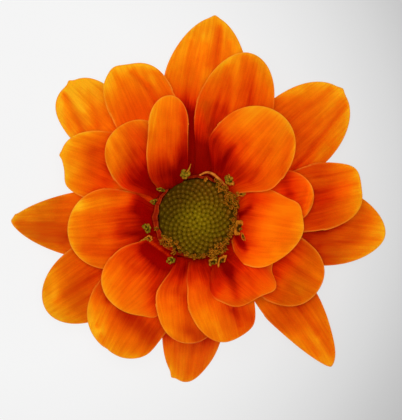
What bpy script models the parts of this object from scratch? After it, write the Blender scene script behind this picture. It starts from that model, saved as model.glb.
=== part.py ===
"""Chrysanthemum bloom, an open-centred semi-double head cut just below its cup of bracts, resting face up.

The origin is the middle of the flat cut below the head, +Z is up and out of the face of the flower.
Lengths in this file are in millimetres, and mesh_object turns them into metres.
"""

import math
from typing import NamedTuple

import bpy
import numpy as np
from mathutils import Vector
from mathutils.geometry import delaunay_2d_cdt

MM = 0.001
GAP = 0.3

# Stalk and cup of bracts
STALK_CUT_RADIUS = 2.2
STALK_RADIUS = 2.3
STALK_NECK_RADIUS = 2.45
STALK_TOP = 3.2
STALK_SIDES = 20
STALK_RIBS = 5
STALK_RIB_DEPTH = 0.12
CUP_FLOOR = STALK_TOP + GAP
CUP_TOP = 8.3
CUP_THROAT = 2.5
CUP_RADIUS = 8.2
CUP_SIDES = 36
CUP_RINGS = 7
BRACT_ROWS = 3
BRACT_COLUMNS = 2
BRACT_THICK = 0.75
BRACT_LIFT = 0.5
BRACT_FLARE = 0.35
BRACT_HOOD = 0.15
BRACT_CHEEK = 0.35
BRACT_TIP = 0.03
# Number of bracts, where they start and end on the cup, and half their width
BRACT_ROWS_ROUND = ((12, 0.05, 0.62, 1.15), (13, 0.25, 0.84, 1.35), (13, 0.48, 0.98, 1.6))

# Receptacle, which all the ray florets grow from
RECEPTACLE_RADIUS = 8.6
RECEPTACLE_FLOOR = CUP_TOP + GAP
RECEPTACLE_TOP = 12.2
RECEPTACLE_SIDES = 36

# Disc: closed florets on a dome, in a dish with opened florets round it
DISC_FLOOR = RECEPTACLE_TOP + GAP
DISC_SEAT = DISC_FLOOR + 0.8
DISC_EDGE = 13.0
DISC_RISE = 4.2
DISC_FALL = 0.8
DISC_RADIUS = 8.3
DISC_SIDES = 36
DISH_RADIUS = 7.9
DISH_SHOULDER = 7.2
DISC_SPLIT_RADIUS = 6.1
DISC_PITCH = 1.06
GOLDEN_ANGLE = math.radians(137.508)
BUD_RADIUS = 0.33
BUD_HEIGHT = 0.4
BUD_SHOULDER = 0.6
BUD_SIDES = 6
RIM_SINK = 0.7
RIM_ROWS = ((6.75, 26), (7.6, 29))  # radius and number of florets in each row
RIM_LEAN = (0.25, 0.6)
FLORET_SIDES = 5
FLORET_FOOT = 0.38
FLORET_MOUTH = 0.58
FLORET_PIT = 0.36
FLORET_ROOT = 0.5
FLORET_HEIGHT = 0.9
FLORET_DEPTH = 0.6

# Ray florets
RAY_THICK = 0.65
RAY_ROWS = 9
RAY_COLUMNS = 6
CLAW_SHARE = 0.28
CLAW_CUP = 0.5
CLAW_END = 0.45
CLAW_NECK = 0.2
WIDENING = 1.5
TIP_CLEAR = 0.02


class Ray(NamedTuple):
    """One ray floret. Left and right are as seen from the middle of the bloom, looking out."""

    root: float  # direction of its claw round the receptacle, degrees
    tip: tuple  # x, y of its tip
    left: float  # half width on the left
    right: float  # half width on the right
    cheek: float  # share of the length at which the tip starts to round
    blunt: float  # 1.5 is a pointed tip, 2 a round one, 3 a square one
    crest: float  # height of the midrib at its highest
    tip_height: float  # height of the midrib at the tip
    roll: float = 0.0  # slope across the blade, positive when its left side is up
    bow: float = 0.0  # how far the midrib bows to the left
    slant: float = 0.0  # how much further the left side of the tip reaches
    shoulder: float = None  # share of the length at which the blade is full width
    crest_at: float = None  # share of the length at which the midrib is highest
    arch: float = None  # how far its sides hang, as a share of the half width


class Whorl(NamedTuple):
    """A layer of rays, with where their claws leave the receptacle and the forms most of them share."""

    root_radius: float
    root_height: float
    shoulder: float
    crest_at: float
    arch: float
    rays: tuple


OUTER_RAYS = (
    Ray(100, (3.8, 40.4), 8.4, 8.5, 0.6, 1.65, 10.5, 0.8, roll=0.02, arch=0.14),
    Ray(38, (29.4, 25.4), 8.0, 8.4, 0.6, 2.0, 10.5, 0.8, shoulder=0.5),
    Ray(-8, (37.6, -3.4), 8.3, 7.6, 0.6, 1.9, 10.5, 0.6, bow=0.4),
    Ray(-46, (26.8, -30.2), 6.0, 5.4, 0.5, 1.5, 10.5, 0.4, bow=2.1),
    Ray(-98, (-2.4, -32.8), 6.4, 5.8, 0.55, 2.0, 10.5, 0.8, bow=0.7, slant=-1.4),
    Ray(180, (-37.6, -0.8), 8.2, 5.8, 0.45, 1.5, 10.5, 0.5),
    Ray(140, (-26.8, 26.2), 6.2, 6.6, 0.7, 2.4, 10.5, 0.6),
)
MIDDLE_RAYS = (
    Ray(77, (10.2, 33.0), 7.1, 8.1, 0.55, 2.0, 12.8, 6.5, bow=-0.5, slant=-0.8),
    Ray(-4, (33.0, 5.4), 7.3, 6.1, 0.66, 2.3, 12.6, 6.5, shoulder=0.55),
    Ray(-30, (24.6, -14.2), 6.8, 7.4, 0.6, 2.2, 12.6, 8.5),
    Ray(-124, (-16.8, -27.4), 6.8, 9.9, 0.6, 2.3, 13.0, 7.5, roll=-0.05),
    Ray(-148, (-30.3, -18.7), 7.4, 7.8, 0.6, 2.0, 12.2, 6.0),
    Ray(153, (-27.2, 13.0), 6.6, 7.6, 0.55, 1.8, 12.6, 7.5, bow=-0.5, slant=-1.5),
    Ray(120, (-14.8, 30.2), 6.4, 6.9, 0.7, 2.6, 12.8, 7.0, slant=0.6),
)
INNER_RAYS = (
    Ray(134, (-5.2, 24.2), 4.1, 3.8, 0.7, 2.0, 18.6, 14.5, roll=0.25, bow=0.3, shoulder=0.25, arch=0.3),
    Ray(142, (-15.5, 18.0), 6.8, 7.2, 0.5, 2.2, 16.8, 13.2, roll=0.2, shoulder=0.35, arch=0.26),
    Ray(187, (-25.8, -2.8), 8.1, 8.0, 0.55, 2.0, 15.4, 12.4, bow=0.3),
    Ray(222, (-16.8, -17.3), 7.4, 6.5, 0.6, 2.1, 16.2, 13.2, roll=-0.22, crest_at=0.42),
    Ray(258, (-1.4, -25.2), 6.4, 6.4, 0.55, 2.1, 16.8, 12.8, roll=-0.26, crest_at=0.4),
    Ray(281, (6.4, -24.8), 7.3, 5.9, 0.5, 2.0, 17.4, 13.0, roll=-0.26, crest_at=0.38),
    Ray(302, (12.9, -15.0), 6.9, 6.5, 0.64, 2.3, 17.4, 14.2, roll=-0.24, shoulder=0.3, crest_at=0.36),
    Ray(-4, (21.2, -2.6), 7.0, 8.6, 0.34, 1.75, 19.0, 14.6, roll=-0.18, shoulder=0.25, arch=0.26),
    Ray(50, (17.0, 20.2), 8.6, 8.0, 0.48, 2.05, 20.0, 15.0, roll=-0.14, shoulder=0.3, arch=0.28),
    Ray(14, (23.2, 5.0), 5.6, 5.6, 0.6, 2.0, 15.2, 12.8, crest_at=0.5),
)
WHORLS = {
    "outer": Whorl(7.4, 9.9, 0.45, 0.22, 0.12, OUTER_RAYS),
    "middle": Whorl(7.4, 10.8, 0.45, 0.35, 0.14, MIDDLE_RAYS),
    "inner": Whorl(8.0, 11.6, 0.40, 0.45, 0.22, INNER_RAYS),
}


def every_ray():
    """Name, whorl and ray, with what the ray leaves out taken from its whorl."""
    for name, whorl in WHORLS.items():
        for number, ray in enumerate(whorl.rays, 1):
            shared = {key: getattr(whorl, key) for key in ("shoulder", "crest_at", "arch")}
            own = {key: value for key, value in ray._asdict().items() if value is not None}
            yield f"{name}_ray_{number}", whorl, Ray(**{**shared, **own})


def smooth_step(x):
    x = np.clip(x, 0.0, 1.0)
    return x * x * (3 - 2 * x)


def quarter_sine(x):
    return np.sin(np.clip(x, 0.0, 1.0) * math.pi / 2)


def midrib(whorl, ray, t):
    """Place and heading of the midrib, seen from above, at shares t of its length."""
    turn = math.radians(ray.root)
    root = whorl.root_radius * np.array((math.cos(turn), math.sin(turn)))
    tip = np.array(ray.tip)
    along = (tip - root) / np.linalg.norm(tip - root)
    control = (root + tip) / 2 + 2 * ray.bow * np.array((-along[1], along[0]))
    t = t[..., None]
    place = (1 - t) ** 2 * root + 2 * t * (1 - t) * control + t**2 * tip
    heading = (1 - t) * (control - root) + t * (tip - control)
    return place, heading / np.linalg.norm(heading, axis=-1, keepdims=True)


def ray_surface(whorl, ray, s, u):
    """The upper face: s is 0 at the claw and 1 at the margin, u is -1 at the right side and 1 at the left."""
    s, u = np.broadcast_arrays(s, u)
    v = np.sin(u * math.pi / 2)
    rounding = np.maximum(0.0, 1 - np.abs(v) ** ray.blunt) ** (1 / ray.blunt)
    t = s * (ray.cheek + (1 - ray.cheek) * rounding)
    half = np.where(v > 0, ray.left, ray.right)
    widening = quarter_sine(smooth_step(t / ray.shoulder / WIDENING))
    x = half * v * (CLAW_SHARE + (1 - CLAW_SHARE) * widening)
    place, heading = midrib(whorl, ray, t)
    leftward = np.stack((-heading[..., 1], heading[..., 0]), axis=-1)
    place = place + leftward * x[..., None] + heading * (ray.slant * v * t**2)[..., None]
    z = whorl.root_height + (ray.crest - whorl.root_height) * quarter_sine(t / ray.crest_at)
    past = (t - ray.crest_at) / (1 - ray.crest_at)
    z = z - (ray.crest - ray.tip_height) * (1 - quarter_sine(1 - past))
    opened = smooth_step(t / CLAW_END)
    hang = (opened * (1 + CLAW_CUP) - CLAW_CUP) * smooth_step(t / CLAW_NECK)
    z = z + opened * ray.roll * x - hang * ray.arch * half * v**2
    return np.concatenate((place, z[..., None]), axis=-1)


def mesh_object(name, points, faces, material):
    """One object from points in millimetres."""
    mesh = bpy.data.meshes.new(name)
    mesh.from_pydata([tuple(float(c) * MM for c in p) for p in points], [], faces)
    mesh.validate()
    obj = bpy.data.objects.new(name, mesh)
    obj.data.materials.append(material)
    bpy.context.scene.collection.objects.link(obj)
    return obj


def principled(name, colour, roughness):
    material = bpy.data.materials.new(name)
    material.use_nodes = True
    shader = material.node_tree.nodes["Principled BSDF"]
    shader.inputs["Base Color"].default_value = (*colour, 1.0)
    shader.inputs["Roughness"].default_value = roughness
    shader.inputs["Metallic"].default_value = 0.0
    return material


def fused(name, base, pieces, solver="EXACT"):
    """Base and pieces as one closed body, by one union on a collection, which then goes."""
    group = bpy.data.collections.new(name + "_pieces")
    for piece in pieces:
        bpy.context.scene.collection.objects.unlink(piece)
        group.objects.link(piece)
    bpy.context.scene.collection.children.link(group)
    union = base.modifiers.new("union", "BOOLEAN")
    union.operation = "UNION"
    union.operand_type = "COLLECTION"
    union.collection = group
    union.solver = solver
    graph = bpy.context.evaluated_depsgraph_get()
    whole = bpy.data.meshes.new_from_object(base.evaluated_get(graph))
    base.modifiers.clear()
    base.data = whole
    base.name = name
    whole.name = name
    for piece in pieces:
        bpy.data.objects.remove(piece)
    bpy.data.collections.remove(group)
    return base


def grid_normals(points):
    along = np.gradient(points, axis=0)
    across = np.gradient(points, axis=1)
    normal = np.cross(along, across)
    length = np.linalg.norm(normal, axis=-1, keepdims=True)
    return normal / np.maximum(length, 1e-12)


def blade(name, top, bottom, material):
    """A closed blade between two grids of points. Both faces are split into triangles alike."""
    rows, columns = top.shape[0] - 1, top.shape[1] - 1
    index = np.arange((rows + 1) * (columns + 1)).reshape(rows + 1, columns + 1)
    lower = index + index.size
    faces = []
    for i in range(rows):
        for j in range(columns):
            a, b, c, d = index[i, j], index[i + 1, j], index[i + 1, j + 1], index[i, j + 1]
            faces += [(a, b, c), (a, c, d)]
            a, b, c, d = lower[i, j], lower[i + 1, j], lower[i + 1, j + 1], lower[i, j + 1]
            faces += [(a, c, b), (a, d, c)]
    rim = list(index[0, :]) + list(index[1:, columns]) + list(index[rows, columns - 1 :: -1])
    rim += list(index[rows - 1 : 0 : -1, 0])
    for first, second in zip(rim, rim[1:] + rim[:1]):
        faces += [(first, second, second + index.size), (first, second + index.size, first + index.size)]
    points = np.concatenate((top.reshape(-1, 3), bottom.reshape(-1, 3)))
    faces = [tuple(int(k) for k in face) for face in faces]
    return mesh_object(name, points, faces, material)


def turned(name, profile, sides, material, radius_at=None):
    """A closed solid of revolution. The profile starts and ends off the axis, and flat ends close it."""
    turns = [2 * math.pi * k / sides for k in range(sides)]
    points = []
    for r, z in profile:
        for turn in turns:
            reach = r if radius_at is None else radius_at(r, turn)
            points.append((reach * math.cos(turn), reach * math.sin(turn), z))
    faces = [tuple(range(sides - 1, -1, -1))]
    for ring in range(len(profile) - 1):
        for k in range(sides):
            a = ring * sides + k
            b = ring * sides + (k + 1) % sides
            faces.append((a, b, b + sides, a + sides))
    last = (len(profile) - 1) * sides
    faces.append(tuple(range(last, last + sides)))
    return mesh_object(name, points, faces, material)


def make_ray(name, whorl, ray, material):
    """One ray floret. Outer rays hang until they touch the surface that the bloom rests on."""
    s = np.linspace(0, 1, RAY_ROWS + 1)[:, None]
    u = np.linspace(-1, 1, RAY_COLUMNS + 1)[None, :]
    top = ray_surface(whorl, ray, s, u)
    bottom = top - RAY_THICK * grid_normals(top)
    if whorl.rays is OUTER_RAYS:
        sink = (bottom[..., 2].min() - TIP_CLEAR) * s**2
        top[..., 2] -= sink
        bottom[..., 2] -= sink
    return blade(name, top, bottom, material)


def make_ray_florets():
    petal = principled("ray_floret_orange", (0.83, 0.11, 0.0), 0.5)
    receptacle = turned(
        "receptacle",
        [(RECEPTACLE_RADIUS, RECEPTACLE_FLOOR), (RECEPTACLE_RADIUS, RECEPTACLE_TOP)],
        RECEPTACLE_SIDES,
        petal,
    )
    rays = [make_ray(name, whorl, ray, petal) for name, whorl, ray in every_ray()]
    return fused("ray_florets", receptacle, rays, solver="MANIFOLD")


def disc_height(r):
    """The domed face of the disc."""
    return DISC_EDGE + DISC_RISE * (1 - np.minimum(1.0, r / DISC_RADIUS) ** 2) ** DISC_FALL


def make_disc_florets():
    """Closed florets in the spiral of a sunflower's disc, raised in relief from one dome."""
    material = principled("disc_floret_olive", (0.14, 0.08, 0.002), 0.7)
    reach = DISC_SPLIT_RADIUS - GAP / 2
    spread = DISC_PITCH * math.sqrt(math.sqrt(3) / 2 / math.pi)
    count = int(((reach - DISC_PITCH / 2) / spread) ** 2)
    radius = spread * np.sqrt(np.arange(count) + 0.5)
    turn = GOLDEN_ANGLE * np.arange(count)
    middles = np.stack((radius * np.cos(turn), radius * np.sin(turn)), axis=1)
    cells = delaunay_2d_cdt([Vector(p) for p in middles], [], [], 0, 1e-6)
    valleys = [sum((cells[0][k] for k in face), Vector((0, 0))) / 3 for face in cells[2]]
    shoulders = []
    for x, y in middles:
        for k in range(BUD_SIDES):
            angle = 2 * math.pi * k / BUD_SIDES
            shoulders.append((x + BUD_RADIUS * math.cos(angle), y + BUD_RADIUS * math.sin(angle)))
    edge = [2 * math.pi * k / DISC_SIDES for k in range(DISC_SIDES)]
    rim = [(reach * math.cos(a), reach * math.sin(a)) for a in edge]
    flat = [*rim, *middles, *shoulders, *valleys]
    lift = [-BUD_HEIGHT] * len(rim) + [BUD_HEIGHT] * count
    lift += [BUD_HEIGHT * BUD_SHOULDER] * len(shoulders) + [0.0] * len(valleys)
    joined = delaunay_2d_cdt([Vector(p) for p in flat], [], [], 0, 1e-6)
    points = []
    for place, sources in zip(joined[0], joined[3]):
        height = float(disc_height(place.length)) + lift[sources[0]]
        points.append((place.x, place.y, height))
    top_rim = [k for k, sources in enumerate(joined[3]) if sources[0] < DISC_SIDES]
    top_rim.sort(key=lambda k: joined[3][k][0])
    faces = [tuple(face) for face in joined[2]]
    below = len(points)
    points += [(x, y, DISC_SEAT + GAP) for x, y in rim]
    for k in range(DISC_SIDES):
        after = (k + 1) % DISC_SIDES
        faces.append((top_rim[after], top_rim[k], below + k, below + after))
    faces.append(tuple(below + k for k in range(DISC_SIDES - 1, -1, -1)))
    return mesh_object("disc_florets", points, faces, material)


def open_floret(name, place, outward, material):
    """A small opened floret: a five-sided tube that flares, with a pit in its mouth."""
    rings = ((FLORET_FOOT, -FLORET_ROOT), (FLORET_MOUTH, FLORET_HEIGHT), (FLORET_PIT, FLORET_HEIGHT))
    points = []
    for r, z in rings:
        for k in range(FLORET_SIDES):
            angle = 2 * math.pi * k / FLORET_SIDES
            points.append(Vector((r * math.cos(angle), r * math.sin(angle), z)))
    points.append(Vector((0, 0, FLORET_HEIGHT - FLORET_DEPTH)))
    turn = Vector((0, 0, 1)).rotation_difference(outward).to_matrix()
    points = [turn @ p + place for p in points]
    faces = [tuple(range(FLORET_SIDES - 1, -1, -1))]
    for ring in range(2):
        for k in range(FLORET_SIDES):
            a = ring * FLORET_SIDES + k
            b = ring * FLORET_SIDES + (k + 1) % FLORET_SIDES
            faces.append((a, b, b + FLORET_SIDES, a + FLORET_SIDES))
    for k in range(FLORET_SIDES):
        faces.append((2 * FLORET_SIDES + k, 2 * FLORET_SIDES + (k + 1) % FLORET_SIDES, 3 * FLORET_SIDES))
    return mesh_object(name, points, faces, material)


def make_rim_florets():
    """The opened florets round the disc, on a dish that the closed ones sit in."""
    material = principled("rim_floret_tan", (0.35, 0.15, 0.02), 0.7)
    inner = DISC_SPLIT_RADIUS + GAP / 2
    profile = [
        (DISH_RADIUS, DISC_FLOOR),
        (DISH_RADIUS, float(disc_height(DISH_RADIUS)) - RIM_SINK),
        (DISH_SHOULDER, float(disc_height(DISH_SHOULDER)) - RIM_SINK),
        (inner, float(disc_height(inner)) - RIM_SINK),
        (inner, DISC_SEAT),
    ]
    dish = turned("dish", profile, DISC_SIDES, material)
    florets = []
    for row, (radius, count) in enumerate(RIM_ROWS):
        for k in range(count):
            angle = 2 * math.pi * (k + 0.5 * row) / count
            outward = Vector((math.cos(angle), math.sin(angle), 0))
            place = outward * radius
            place.z = float(disc_height(radius)) - RIM_SINK
            facing = (outward * RIM_LEAN[row] + Vector((0, 0, 1))).normalized()
            florets.append(open_floret(f"floret_{row}_{k}", place, facing, material))
    return fused("rim_florets", dish, florets)


def cup_place(share):
    """Radius, height and outward normal of the cup, from its foot at 0 to its lip at 1."""
    angle = share * math.pi / 2
    r = CUP_THROAT + (CUP_RADIUS - CUP_THROAT) * np.sin(angle)
    z = CUP_FLOOR + (CUP_TOP - CUP_FLOOR) * (1 - np.cos(angle))
    outward = (CUP_TOP - CUP_FLOOR) * np.sin(angle)
    downward = (CUP_RADIUS - CUP_THROAT) * np.cos(angle)
    out = np.stack((outward, -downward), axis=-1)
    return r, z, out / np.linalg.norm(out, axis=-1, keepdims=True)


def make_bract(name, turn, start, end, half_width, material):
    s = np.linspace(0, 1, BRACT_ROWS + 1)[:, None]
    u = np.linspace(-1, 1, BRACT_COLUMNS + 1)[None, :]
    share = start + (end - start) * s
    narrowing = np.maximum(0.0, s - BRACT_CHEEK) / (1 - BRACT_CHEEK)
    width = half_width * np.sqrt(1 - (1 - BRACT_TIP) * narrowing**2)
    faces = []
    for lift in (BRACT_LIFT, BRACT_LIFT - BRACT_THICK):
        r, z, out = cup_place(share)
        height = lift + BRACT_FLARE * s**2 - BRACT_HOOD * u**2
        reach = r + out[..., 0] * height
        level = np.minimum(z + out[..., 1] * height, CUP_TOP)
        angle = turn - u * width / reach
        faces.append(np.stack((reach * np.cos(angle), reach * np.sin(angle), level), axis=-1))
    return blade(name, faces[0], faces[1], material)


def make_involucre():
    """The green cup under the head, covered with three rows of overlapping bracts."""
    material = principled("bract_green", (0.09, 0.16, 0.03), 0.65)
    profile = []
    for share in np.linspace(0, 1, CUP_RINGS):
        r, z, _ = cup_place(share)
        profile.append((float(r), float(z)))
    cup = turned("cup", profile, CUP_SIDES, material)
    bracts = []
    for row, (count, start, end, half_width) in enumerate(BRACT_ROWS_ROUND):
        for k in range(count):
            turn = 2 * math.pi * (k + 0.5 * row) / count
            bracts.append(make_bract(f"bract_{row}_{k}", turn, start, end, half_width, material))
    return fused("involucre", cup, bracts)


def make_stalk():
    material = principled("stalk_green", (0.16, 0.24, 0.06), 0.6)

    def ribbed(radius, turn):
        return radius + STALK_RIB_DEPTH * math.cos(STALK_RIBS * turn)

    profile = [(STALK_CUT_RADIUS, 0.0), (STALK_RADIUS, STALK_TOP / 2), (STALK_NECK_RADIUS, STALK_TOP)]
    return turned("flower_stalk", profile, STALK_SIDES, material, ribbed)


def main():
    for obj in list(bpy.data.objects):
        bpy.data.objects.remove(obj)
    make_stalk()
    make_involucre()
    make_ray_florets()
    make_rim_florets()
    make_disc_florets()
    for obj in bpy.data.objects:
        obj.data.shade_smooth()
        obj.data.set_sharp_from_angle(angle=math.radians(40))


if __name__ == "__main__":
    main()
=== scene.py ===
"""The looks of a chrysanthemum bloom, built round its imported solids.

Lengths are in millimetres until a mesh is made.
"""

import math
from typing import NamedTuple

import bpy
import numpy as np
from mathutils import Matrix, Vector


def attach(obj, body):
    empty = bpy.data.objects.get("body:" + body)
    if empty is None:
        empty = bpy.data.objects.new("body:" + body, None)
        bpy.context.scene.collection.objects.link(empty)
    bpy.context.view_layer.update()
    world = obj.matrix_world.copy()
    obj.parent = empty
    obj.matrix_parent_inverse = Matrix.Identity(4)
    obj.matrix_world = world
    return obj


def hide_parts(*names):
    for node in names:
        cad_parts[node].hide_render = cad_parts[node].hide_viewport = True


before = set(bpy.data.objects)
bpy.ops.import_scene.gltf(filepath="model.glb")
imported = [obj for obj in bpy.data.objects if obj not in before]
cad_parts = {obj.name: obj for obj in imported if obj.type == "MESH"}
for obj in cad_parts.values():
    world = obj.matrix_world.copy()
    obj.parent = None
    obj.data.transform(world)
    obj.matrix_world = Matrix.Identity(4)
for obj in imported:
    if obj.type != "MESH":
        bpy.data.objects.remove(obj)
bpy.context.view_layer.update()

MM = 0.001
BODY = "root"

# Ray florets: the same blades as the solids
CLAW_SHARE = 0.4
CLAW_CUP = 0.5
CLAW_END = 0.45
CLAW_NECK = 0.2
WIDENING = 1.5
TIP_CLEAR = 0.02

# Ray florets: what is finer than the solids
BLADE_ROWS = 84
BLADE_COLUMNS = 64
BLADE_THICK = 0.34
CLAW_THICK = 0.5
MARGIN_THICK = 0.13
MARGIN_TAPER = 1.3
VEIN_PITCH = 1.1
VEIN_RELIEF = 0.014
VEINS_MEET = 0.3
MARGIN_BEAD = 0.06
MARGIN_BEAD_WIDTH = 0.35
TONE_FIRST = 0.15  # share of the length where the first tone of a Look is
TONE_STEP = 0.2


class Ray(NamedTuple):
    """One ray floret. Left and right are as seen from the middle of the bloom, looking out."""

    root: float  # direction of its claw round the receptacle, degrees
    tip: tuple  # x, y of its tip
    left: float  # half width on the left
    right: float  # half width on the right
    cheek: float  # share of the length at which the tip starts to round
    blunt: float  # 1.5 is a pointed tip, 2 a round one, 3 a square one
    crest: float  # height of the midrib at its highest
    tip_height: float  # height of the midrib at the tip
    roll: float = 0.0  # slope across the blade, positive when its left side is up
    bow: float = 0.0  # how far the midrib bows to the left
    slant: float = 0.0  # how much further the left side of the tip reaches
    shoulder: float = None  # share of the length at which the blade is full width
    crest_at: float = None  # share of the length at which the midrib is highest
    arch: float = None  # how far its sides hang, as a share of the half width
    claw: float = CLAW_SHARE  # width at the claw, as a share of the whole
    flare: float = 0.0  # how steadily it widens from the claw, from 0, late, to 1, at once
    inset: float = 0.0  # how much nearer the axis its claw starts


class Whorl(NamedTuple):
    """A layer of rays, with where their claws leave the receptacle and the forms most of them share."""

    root_radius: float
    root_height: float
    shoulder: float
    crest_at: float
    arch: float
    rays: tuple


class Fold(NamedTuple):
    """A groove in a blade between two places seen from above, or a ridge where its depth is negative."""

    start: tuple
    end: tuple
    depth: float
    width: float = 1.0


class Pull(NamedTuple):
    """Moves the blade by x, y, z round one place seen from above: a tooth, a notch or a hollow."""

    place: tuple
    move: tuple
    reach: float


class Tint(NamedTuple):
    """A streak of colour between two places seen from above: how much riper it is and how much darker, the
    darkening partly painted shade of hollows and of rays above, partly real browning.
    """

    start: tuple
    end: tuple
    width: float
    riper: float
    shade_and_browner: float


class Look(NamedTuple):
    """What one ray floret has of its own."""

    tones: tuple  # how ripe the orange is along its length, from 0, dark red, to 1, golden
    shade_and_browns: tuple  # how far it is painted darker along its length: mostly painted shade where the rays above shade it, partly real browning
    forms: tuple = ()
    lean: float = 0.0  # painted light and shade across the blade: how much riper, so lighter, its left side is than its middle, with its right side darker


OUTER_RAYS = (
    Ray(100, (3.8, 40.4), 8.4, 8.5, 0.6, 1.65, 10.5, 0.8, roll=0.02, arch=0.14),
    Ray(38, (29.4, 25.4), 8.0, 8.4, 0.6, 2.0, 10.5, 0.8, shoulder=0.5),
    Ray(-8, (37.6, -3.4), 8.3, 7.6, 0.6, 1.9, 10.5, 0.6, bow=0.4),
    Ray(-46, (26.8, -30.2), 6.0, 5.4, 0.5, 1.5, 10.5, 0.4, bow=2.1),
    Ray(-98, (-2.4, -32.8), 6.4, 5.8, 0.55, 2.0, 10.5, 0.8, bow=0.7, slant=-1.4),
    Ray(180, (-37.6, -0.8), 8.2, 5.8, 0.45, 1.5, 10.5, 0.5),
    Ray(140, (-26.8, 26.2), 6.2, 6.6, 0.7, 2.4, 10.5, 0.6),
)
MIDDLE_RAYS = (
    Ray(77, (10.2, 33.0), 7.1, 8.1, 0.55, 2.0, 12.8, 6.5, bow=-0.5, slant=-0.8),
    Ray(-4, (33.0, 5.4), 7.3, 6.1, 0.66, 2.3, 12.6, 6.5, shoulder=0.55),
    Ray(-30, (24.6, -14.2), 6.8, 7.4, 0.6, 2.2, 12.6, 8.5),
    Ray(-124, (-16.8, -27.4), 6.8, 9.9, 0.6, 2.3, 13.0, 7.5, roll=-0.05),
    Ray(-148, (-30.3, -18.7), 7.4, 7.8, 0.6, 2.0, 12.2, 6.0),
    Ray(153, (-27.2, 13.0), 6.6, 7.6, 0.55, 1.8, 12.6, 7.5, bow=-0.5, slant=-1.5),
    Ray(120, (-14.8, 30.2), 6.4, 6.9, 0.7, 2.6, 12.8, 7.0, slant=0.6),
)
INNER_RAYS = (
    Ray(
        134, (-5.2, 24.2), 4.1, 3.8, 0.7, 2.0, 18.6, 14.5,
        roll=0.25, bow=0.3, shoulder=0.2, arch=0.3, claw=0.6, inset=0.3,
    ),
    Ray(142, (-15.5, 18.0), 6.8, 7.2, 0.5, 2.2, 16.8, 13.2, roll=0.2, shoulder=0.35, arch=0.26),
    Ray(187, (-25.8, -2.8), 8.1, 8.0, 0.55, 2.0, 15.4, 12.4, bow=0.3, flare=0.5),
    Ray(222, (-16.8, -17.3), 7.4, 6.5, 0.6, 2.1, 16.2, 13.2, roll=-0.22, crest_at=0.42, flare=0.4),
    Ray(258, (-1.4, -25.2), 6.4, 6.4, 0.55, 2.1, 16.8, 12.8, roll=-0.26, crest_at=0.4),
    Ray(281, (6.4, -24.8), 7.3, 5.9, 0.5, 2.0, 17.4, 13.0, roll=-0.26, crest_at=0.38),
    Ray(
        302, (12.9, -15.0), 6.9, 6.5, 0.64, 2.3, 17.4, 14.2,
        roll=-0.24, shoulder=0.3, crest_at=0.36, flare=0.5,
    ),
    Ray(
        -2, (21.2, -2.6), 7.0, 8.6, 0.34, 1.75, 17.6, 15.2,
        roll=-0.1, shoulder=0.13, arch=0.2, claw=0.45, flare=1.0, inset=0.6,
    ),
    Ray(50, (17.0, 20.2), 8.6, 8.0, 0.48, 2.05, 20.0, 15.0, roll=-0.14, shoulder=0.3, arch=0.28),
    Ray(14, (23.2, 5.0), 5.6, 5.6, 0.6, 2.0, 15.2, 12.8, crest_at=0.5),
)
WHORLS = {
    "outer": Whorl(7.4, 9.9, 0.45, 0.22, 0.12, OUTER_RAYS),
    "middle": Whorl(7.4, 10.8, 0.45, 0.35, 0.14, MIDDLE_RAYS),
    "inner": Whorl(8.0, 11.6, 0.40, 0.45, 0.22, INNER_RAYS),
}
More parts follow.
